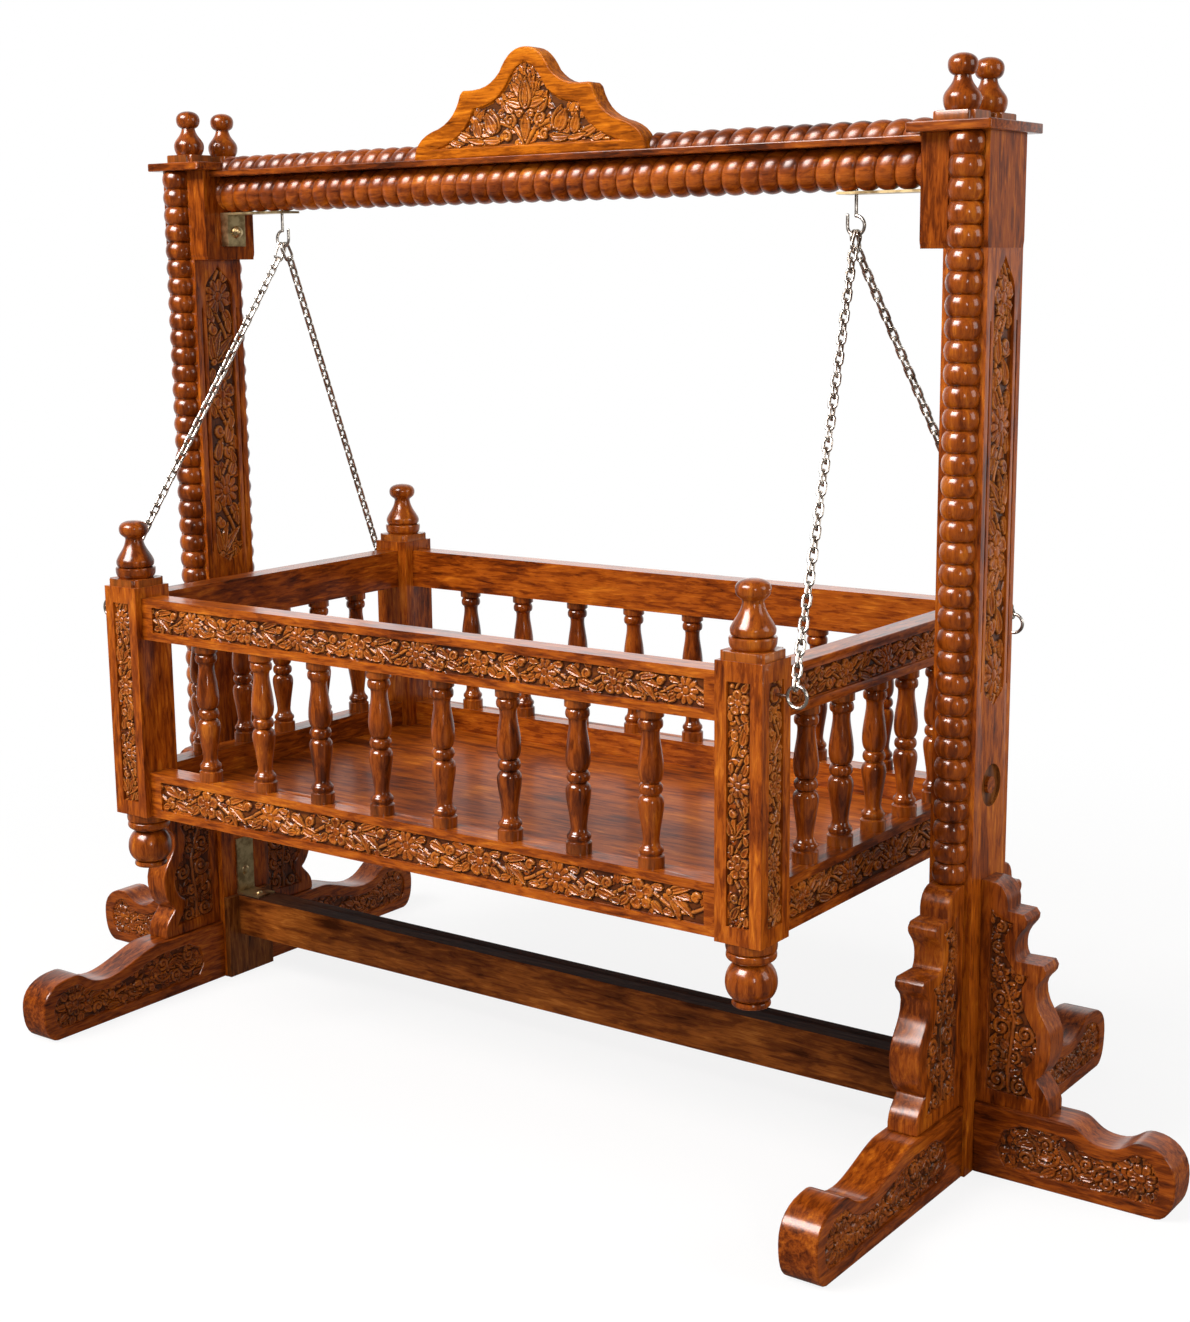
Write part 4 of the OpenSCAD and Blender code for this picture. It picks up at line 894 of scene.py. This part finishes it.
def foot_relief(reach, dip, shoulder, seed):
    """A rosette at the toe, then leaves and scrolls back to the post."""
    poly = foot_panel(reach, dip, shoulder)
    rel = Relief(0, reach, 0, FOOT_H, STEP, 0.6, 0.3)
    r = np.random.default_rng(seed)
    rel.fill(poly, int(reach * 0.75), 15, 3.6)
    tip, low, root = reach * TIP, reach * LOW, FOOT_H - ROOT_RIM
    x, side = tip - 34, 1
    while x > reach * 0.2:
        top = dip - FOOT_RIM + (FOOT_H - 4 - dip) * max(0, (x - low) / (tip - low))
        top = root if x < shoulder else min(top, root)
        mid, half = (FOOT_RIM + top) / 2, (top - FOOT_RIM) / 2
        arc = [(x + 16 * np.cos(a) - 4, mid + side * half * 0.5 * np.sin(a)) for a in np.linspace(0, 3.1, 12)]
        rel.stroke(arc, 3.0, 2.0, TOP * 0.85, 0.7)
        for _ in range(3):
            a = math.pi + side * r.uniform(-0.9, 0.9)
            rel.leaf(x + r.uniform(-3, 10), mid + side * half * r.uniform(-0.6, 0.7), a, r.uniform(20, 28),
                     r.uniform(4.6, 6.2), TOP, r.uniform(-0.35, 0.35), 0.8)
        if half > 11:
            rel.scroll(x - 4, mid - side * half * 0.42, min(11.5, half * 0.52), r.uniform(0, 6), side * 1.3,
                       2.8, TOP * 0.95)
        x -= 25
        side = -side
    for a in np.linspace(-2.6, 2.6, 9):
        rel.leaf(tip + 2 + 17 * math.cos(a), FOOT_H * 0.5 + 17 * math.sin(a), a, 19, 6.0, TOP * 0.9,
                 0.15, 0.6)
    rel.flower(tip + 2, FOOT_H * 0.5, 18, 7, 0.2, 1.2)
    return rel, poly


BRACKET_EDGE = path((0.14, 0.07), (0.78, 0.06), ((0.72, 0.1), (0.63, 0.13), (0.62, 0.19)),
                    ((0.76, 0.21), (0.84, 0.3), (0.78, 0.36)), ((0.66, 0.42), (0.58, 0.46), (0.58, 0.55)),
                    (0.66, 0.61), (0.52, 0.61), ((0.38, 0.65), (0.3, 0.7), (0.34, 0.77)), (0.45, 0.83),
                    (0.28, 0.84), (0.14, 0.88))


def bracket_relief(reach, seed):
    """Scrolls with leaves, two by two up the bracket and one by one above its ledge, and a flower."""
    k = reach / SIDE_BRACKET
    poly = stretch(BRACKET_EDGE, reach, BRACKET_H)
    rel = Relief(0, reach, 0, BRACKET_H, STEP, 0.6, 0.3)
    r = np.random.default_rng(seed)
    rel.fill(poly, 110, 15, 3.4)
    for cx, cy, w in ((25, 31, 15), (53, 27, 12), (24, 62, 13), (46, 62, 10), (29, 97, 17), (59, 93, 14),
                      (26, 131, 14), (47, 126, 10), (49, 160, 8), (22, 194, 9), (25, 218, 9)):
        d = 1 if cy % 2 else -1
        rel.scroll(cx * k, cy, w, r.uniform(0, 6), d * 1.4, 0.2 * w + 0.4, TOP * 0.95)
        for _ in range(3):
            a = r.uniform(0, 2 * math.pi)
            rel.leaf(cx * k + w * math.cos(a), cy + w * math.sin(a), a + 0.7 * d, 1.3 * w, 0.34 * w,
                     TOP * 0.92, 0.3 * d, 0.7)
    rel.stroke([(40 * k, 20), (38 * k, 46), (42 * k, 78), (44 * k, 110), (36 * k, 140), (20 * k, 176)],
               2.6, 2.0, TOP * 0.8, 0.6)
    rel.flower(26 * k, 162, 12, 6, 0.4, 1.0)
    return rel, poly


def both_sides(name, rel, poly, root, along, thick, material):
    """The same relief on the two upright sides of a piece that runs out from root."""
    half = thick / 2 - DEPTH
    for s in (-1, 1):
        out = (s * abs(along[1]), s * abs(along[0]), 0)
        o = (root[0] + out[0] * half, root[1] + out[1] * half, root[2])
        carve(f"{name}_{'ab'[s > 0]}", rel, poly, o, along, out, material, "stand")


def dress_foot(name, x, y, along, reach, dip, bracket, seed, foot_mat, bracket_mat):
    rel, poly = foot_relief(reach, dip, bracket + SHOULDER, seed)
    both_sides(f"foot_{name}", rel, poly, (x, y, 0), along, FOOT_T, foot_mat)
    rel, poly = bracket_relief(bracket, seed + 4)
    both_sides(f"bracket_{name}", rel, poly, (x, y, FOOT_H), along, BRACKET_T, bracket_mat)


for k, (sname, sx) in enumerate(ENDS):
    dress_foot(f"side_{sname}", sx * (POST_X + POST_T / 2), 0, (sx, 0, 0), SIDE_FOOT, SIDE_DIP, SIDE_BRACKET,
               81 + k, timber("x", "rich", 17 + k), timber("z", "rich", 19 + k))
    for j, (fname, sy) in enumerate(FACES):
        n = 2 * k + j
        dress_foot(f"{fname}_{sname}", sx * POST_X, sy * POST_D / 2, (0, sy, 0), LONG_FOOT, LONG_DIP,
                   LONG_BRACKET, 91 + n, timber("y", "rich", 21 + n), timber("z", "rich", 25 + n))

parts = []
for sx in (-1, 1):
    for sy in (-1, 1):
        x, y = sx * HEAD_X, sy * FINIAL_Y
        parts += [notched_plate(x, y, CAP_TOP, PLATE_S, PLATE_T, 1.6),
                  from_profile("stand_finial", FINIAL_R, FINIAL_H, (x, y, CAP_TOP + PLATE_T), 48)]
turned("stand_finials", parts, timber("z", "rich", 33, **FINIAL_FINISH), 40)


# ---- beam

ROPE_SEGS = 48


def twisted(x0, x1, z, r, groove, cut):
    """One strand wound along X: a helix of ROPE_LEAD, cut square at x0 and x1 and by one more plane."""
    turns = math.ceil((x1 - x0) / ROPE_LEAD) + 4
    angles = 2 * math.pi * np.arange(ROPE_SEGS) / ROPE_SEGS
    s = np.arange(turns * BEAD_STEPS + 1)
    radius = groove + (r - groove) * bulge(2 * (s % BEAD_STEPS) / BEAD_STEPS - 1)
    bm = bmesh.new()
    grid = []
    for i in s:
        x = [x0 - 2 * ROPE_LEAD + (i / BEAD_STEPS + k / ROPE_SEGS) * ROPE_LEAD for k in range(ROPE_SEGS)]
        grid.append([bm.verts.new((x[k], -radius[i] * math.sin(a), z - radius[i] * math.cos(a)))
                     for k, a in enumerate(angles)])
    for i in range(len(s) - BEAD_STEPS):
        grid[i].append(grid[i + BEAD_STEPS][0])
    for lo, hi in zip(grid[:-BEAD_STEPS - 1], grid[1:]):
        for k in range(ROPE_SEGS):
            bm.faces.new((lo[k], hi[k], hi[k + 1], lo[k + 1]))
    for at, out in (((x0, 0, 0), (-1, 0, 0)), ((x1, 0, 0), (1, 0, 0)), cut):
        geom = bm.verts[:] + bm.edges[:] + bm.faces[:]
        end = bmesh.ops.bisect_plane(bm, geom=geom, dist=1e-4, plane_co=at, plane_no=out, clear_outer=True)
        rim = [e for e in end["geom_cut"] if isinstance(e, bmesh.types.BMEdge)]
        bmesh.ops.holes_fill(bm, edges=rim, sides=0)
    bmesh.ops.recalc_face_normals(bm, faces=bm.faces[:])
    bm.verts.index_update()
    verts = np.array([v.co[:] for v in bm.verts])
    faces = [tuple(v.index for v in f.verts) for f in bm.faces]
    bm.free()
    return verts, faces


rope = twisted(-HEAD_IN, HEAD_IN, ROPE_Z, ROPE_R, ROPE_GROOVE_R, ((0, 0, ROPE_Z + ROPE_FLAT), (0, 0, 1)))
turned("beam_rope", [rope], timber("x", "warm", 35, **ROPE_FINISH))
inner, outer = CREST_W / 2, HEAD_IN - CAP_OVER_X - FIT
parts = [twisted(x0, x1, BOARD_TOP, UPPER_ROPE_R, UPPER_GROOVE_R, ((0, 0, BOARD_TOP), (0, 0, -1)))
         for x0, x1 in ((-outer, -inner), (inner, outer))]
turned("upper_rope", parts, timber("x", "rich", 36, **ROPE_FINISH))
soften("beam_board", timber("x", "rich", 37), 1.0)
stretcher = soften("stretcher", timber("x", "bark", 39, figure=0.7, coat=0.15), 1.6)
# The stretcher's top faces get a near-black wood: painted shade under the cradle.
retone(stretcher, timber("x", "top_shade", 40, gloss=0.6, coat=0.0, spec=0.02), lambda c, n: n.z > 0.8)

soften("crest", timber("x", "gold", 41, gloss=0.42, coat=0.04, spec=0.02), 2.2)
half = path((0.78, 0.1), ((0.62, 0.16), (0.5, 0.26), (0.45, 0.46)), ((0.3, 0.47), (0.2, 0.56), (0.15, 0.68)),
            ((0.1, 0.8), (0.05, 0.84), (0, 0.86)))
crest_poly = stretch(half + [(-x, y) for x, y in reversed(half[:-1])], CREST_W / 2, CREST_H)


def crest_relief():
    """A tulip with a fan of petals, and leaves and scrolls in the side arms."""
    rel = Relief(-150, 150, 8, 114, STEP * 0.85)
    rel.fill(crest_poly, 240, 16, 4.0)
    for s in (-1, 1):
        base = 0 if s > 0 else math.pi
        stem = ((2, 16), (16, 34), (40, 42), (70, 30), (104, 18), (128, 15))
        rel.stroke([(s * x, y) for x, y in stem], 3.4, 2.0, TOP * 0.9, 1.0)
        rel.scroll(s * 24, 44, 11, base + s * 4.0, -s * 1.4, 2.8)
        rel.scroll(s * 30, 24, 9, base + s * 1.0, s * 1.3, 2.4)
        for x, y, a, length, w in (
                (44, 30, 1.05, 32, 9.5), (56, 26, 0.5, 30, 8), (74, 24, 1.2, 26, 7.5),
                (86, 22, 0.25, 32, 6.5), (40, 20, -0.1, 32, 5.5), (20, 52, 0.9, 30, 7.5),
                (104, 16, 0.2, 26, 4.5), (66, 18, 0.05, 30, 4)):
            rel.leaf(s * x, y, base + s * a, length, w, TOP, 0.12 * s, 1.0)
        rel.leaf(s * 50, 28, base + s * 1.1, 30, 10, TOP, 0, 1.2)
        for k, a in enumerate((1.15, 0.8, 0.45)):
            rel.leaf(s * 5, 60, base + s * a, 34 - 3 * k, 7.0, TOP * 0.92, -0.2 * s, 1.0)
    for k, a in enumerate(np.linspace(0.85, math.pi - 0.85, 7)):
        rel.leaf(0, 66, a, 38 - 5 * abs(k - 3) / 3, 6.2, TOP * 0.85, 0, 0.9)
    for y, a, length, w, clear in ((56, math.pi / 2, 40, 9.5, 1.4), (60, math.pi / 2, 30, 5.0, 0.8),
                                   (48, -math.pi / 2, 32, 8, 1.2)):
        rel.leaf(0, y, a, length, w, TOP, 0, clear)
    rel.scroll(-9, 50, 7, 0.5, 1.2, 2.2)
    rel.scroll(9, 50, 7, 2.6, -1.2, 2.2)
    return rel


carve("crest", crest_relief(), crest_poly, (0, -CREST_Y - CREST_T / 2 + DEPTH, BOARD_TOP), ALONG_X,
      (0, -1, 0), timber("x", "gold", 42, coat=0.5, haze=0.14), "stand")


# ---- metal and small pieces

CHAINS = [f"chain_{fname}_{sname}" for fname, _ in FACES for sname, _ in ENDS]
for material, nodes in ((BRASS, ["hanger_brackets", "stretcher_brackets", "bracket_bolts"]),
                        (NICKEL, ["hooks", "top_links", "eye_screws"] + CHAINS),
                        (timber("x", "rich", 43), ["post_pegs"])):
    for node in nodes:
        paint(frame["nodes"][node].data, material)


# ---- stage, light, camera

# the photo's view, solved from the vanishing points of its beam, rails and posts
YAW, PITCH, ROLL = (math.radians(a) for a in (35.98, 10.92, -0.576))
VIEWPOINT = (1.6112, -2.1100, 1.0576)
SENSOR = 36.0
FOCAL_PX, PHOTO_H = 2032.0, 1322.0      # its focal length and height, in pixels
FLOOR_REACH, FLOOR_DROP = 14.0, 0.0004


def fade(t, value, start, end, low, high):
    """A smooth step from low to high, while value goes from start to end."""
    n = t.nodes.new("ShaderNodeMapRange")
    n.interpolation_type = "SMOOTHSTEP"
    t.links.new(value, n.inputs["Value"])
    for i, v in enumerate((start, end, low, high), 1):
        n.inputs[i].default_value = v
    return n.outputs[0]


def vector_math(t, op, vector):
    n = t.nodes.new("ShaderNodeVectorMath")
    n.operation = op
    t.links.new(vector, n.inputs[0])
    return n


def behind(t, vector, reach):
    """White on the object's far side, which the photo's view has behind it, and dim on the near side."""
    turned_to = vector_math(t, "DOT_PRODUCT", vector)
    turned_to.inputs[1].default_value = (-math.sin(YAW) / reach, math.cos(YAW) / reach, 0)
    return fade(t, turned_to.outputs["Value"], 0.0, 0.85, 0.06, 1.0)


def mix_shader(t, fac, a, b):
    n = t.nodes.new("ShaderNodeMixShader")
    for i, v in enumerate((fac, a, b)):
        t.links.new(v, n.inputs[i])
    return n.outputs[0]


def stage_floor():
    """A pale floor that takes the object's shadow near it and turns white further off."""
    m = bpy.data.materials.new("pale_floor")
    t, out = bare_tree(m, "ShaderNodeOutputMaterial")
    dif = t.nodes.new("ShaderNodeBsdfDiffuse")
    em = t.nodes.new("ShaderNodeEmission")
    rays = t.nodes.new("ShaderNodeLightPath").outputs
    seen, glossy = rays["Is Camera Ray"], rays["Is Glossy Ray"]
    t.links.new(mix_rgb(t, seen, (0.5, 0.48, 0.46), (0.97, 0.97, 0.97)), dif.inputs["Color"])
    spot = t.nodes.new("ShaderNodeTexCoord").outputs["Object"]
    far = fade(t, vector_math(t, "LENGTH", spot).outputs["Value"], 0.5, 2.2, 0.85, 1.0)
    fac = weighted(t, seen, far, glossy, 0.8)
    t.links.new(mix_rgb(t, glossy, (1, 1, 1), behind(t, spot, 3.0)), em.inputs["Color"])
    t.links.new(mix_shader(t, fac, dif.outputs[0], em.outputs[0]), out.inputs[0])
    me = bpy.data.meshes.new("floor")
    me.from_pydata([(x, y, 0) for x, y in rect(FLOOR_REACH, FLOOR_REACH)], [], [(0, 1, 2, 3)])
    me.materials.append(m)
    ob = link("floor", me)
    ob.location.z = -FLOOR_DROP


def background(t, colour, power):
    n = t.nodes.new("ShaderNodeBackground")
    n.inputs[0].default_value = (*colour, 1)
    n.inputs[1].default_value = power
    return n


def world():
    """Soft light, with white for the camera and, on the far side, for what the gloss mirrors."""
    w = bpy.data.worlds.new("studio")
    bpy.context.scene.world = w
    t, out = bare_tree(w, "ShaderNodeOutputWorld")
    rays = t.nodes.new("ShaderNodeLightPath").outputs
    light, mirrored, seen = (background(t, (1.0, 0.97, 0.94), 0.33), background(t, (1, 1, 1), 1.0),
                             background(t, (1, 1, 1), 1.0))
    where = t.nodes.new("ShaderNodeTexCoord").outputs["Generated"]
    t.links.new(behind(t, where, 1.0), mirrored.inputs[0])
    both = mix_shader(t, rays["Is Glossy Ray"], light.outputs[0], mirrored.outputs[0])
    t.links.new(mix_shader(t, rays["Is Camera Ray"], both, seen.outputs[0]), out.inputs[0])


def area(name, loc, target, size, power, colour):
    d = bpy.data.lights.new(name, "AREA")
    d.shape = "RECTANGLE"
    d.size, d.size_y = size
    d.energy = power
    d.color = colour
    ob = link(name, d)
    ob.location = loc
    ob.rotation_euler = (Vector(target) - Vector(loc)).to_track_quat("-Z", "Y").to_euler()
    return ob


stage_floor()
world()
lamps = {name: area(name, *how) for name, *how in (
    # place, target, size, watts, colour
    ("key", (-1.3, -3.2, 3.7), (0, 0, 0.7), (2.4, 1.7), 250, (1.0, 0.96, 0.93)),
    ("sheen", (-1.2, -3.3, 3.6), (0, 0, 0.8), (3.4, 2.4), 460, (1.0, 0.94, 0.95)),
    ("right", (3.8, 0.6, 1.9), (0.4, 0, 0.8), (1.6, 2.0), 46, (1.0, 0.98, 0.96)),
    ("glance", (-3.4, 4.6, 1.5), (0, 0, 0.6), (4.0, 1.6), 14, (1, 1, 1)),
    ("front", (3.4, -3.2, 1.6), (0.2, 0, 0.7), (0.4, 1.2), 28, (1, 1, 1)))}
lamps["sheen"].visible_diffuse = False       # only the lacquer shows this one

cam = bpy.data.cameras.new("camera")
cam.sensor_fit = "VERTICAL"
cam.sensor_height = SENSOR
cam.lens = FOCAL_PX / PHOTO_H * SENSOR
cam.clip_end = 60
cam_ob = link("camera", cam)
cam_ob.matrix_world = (Matrix.Translation(VIEWPOINT) @ Matrix.Rotation(YAW, 4, "Z")
                       @ Matrix.Rotation(math.pi / 2 - PITCH, 4, "X") @ Matrix.Rotation(ROLL, 4, "Z"))
bpy.context.scene.camera = cam_ob
bpy.context.scene.view_settings.view_transform = "Standard"
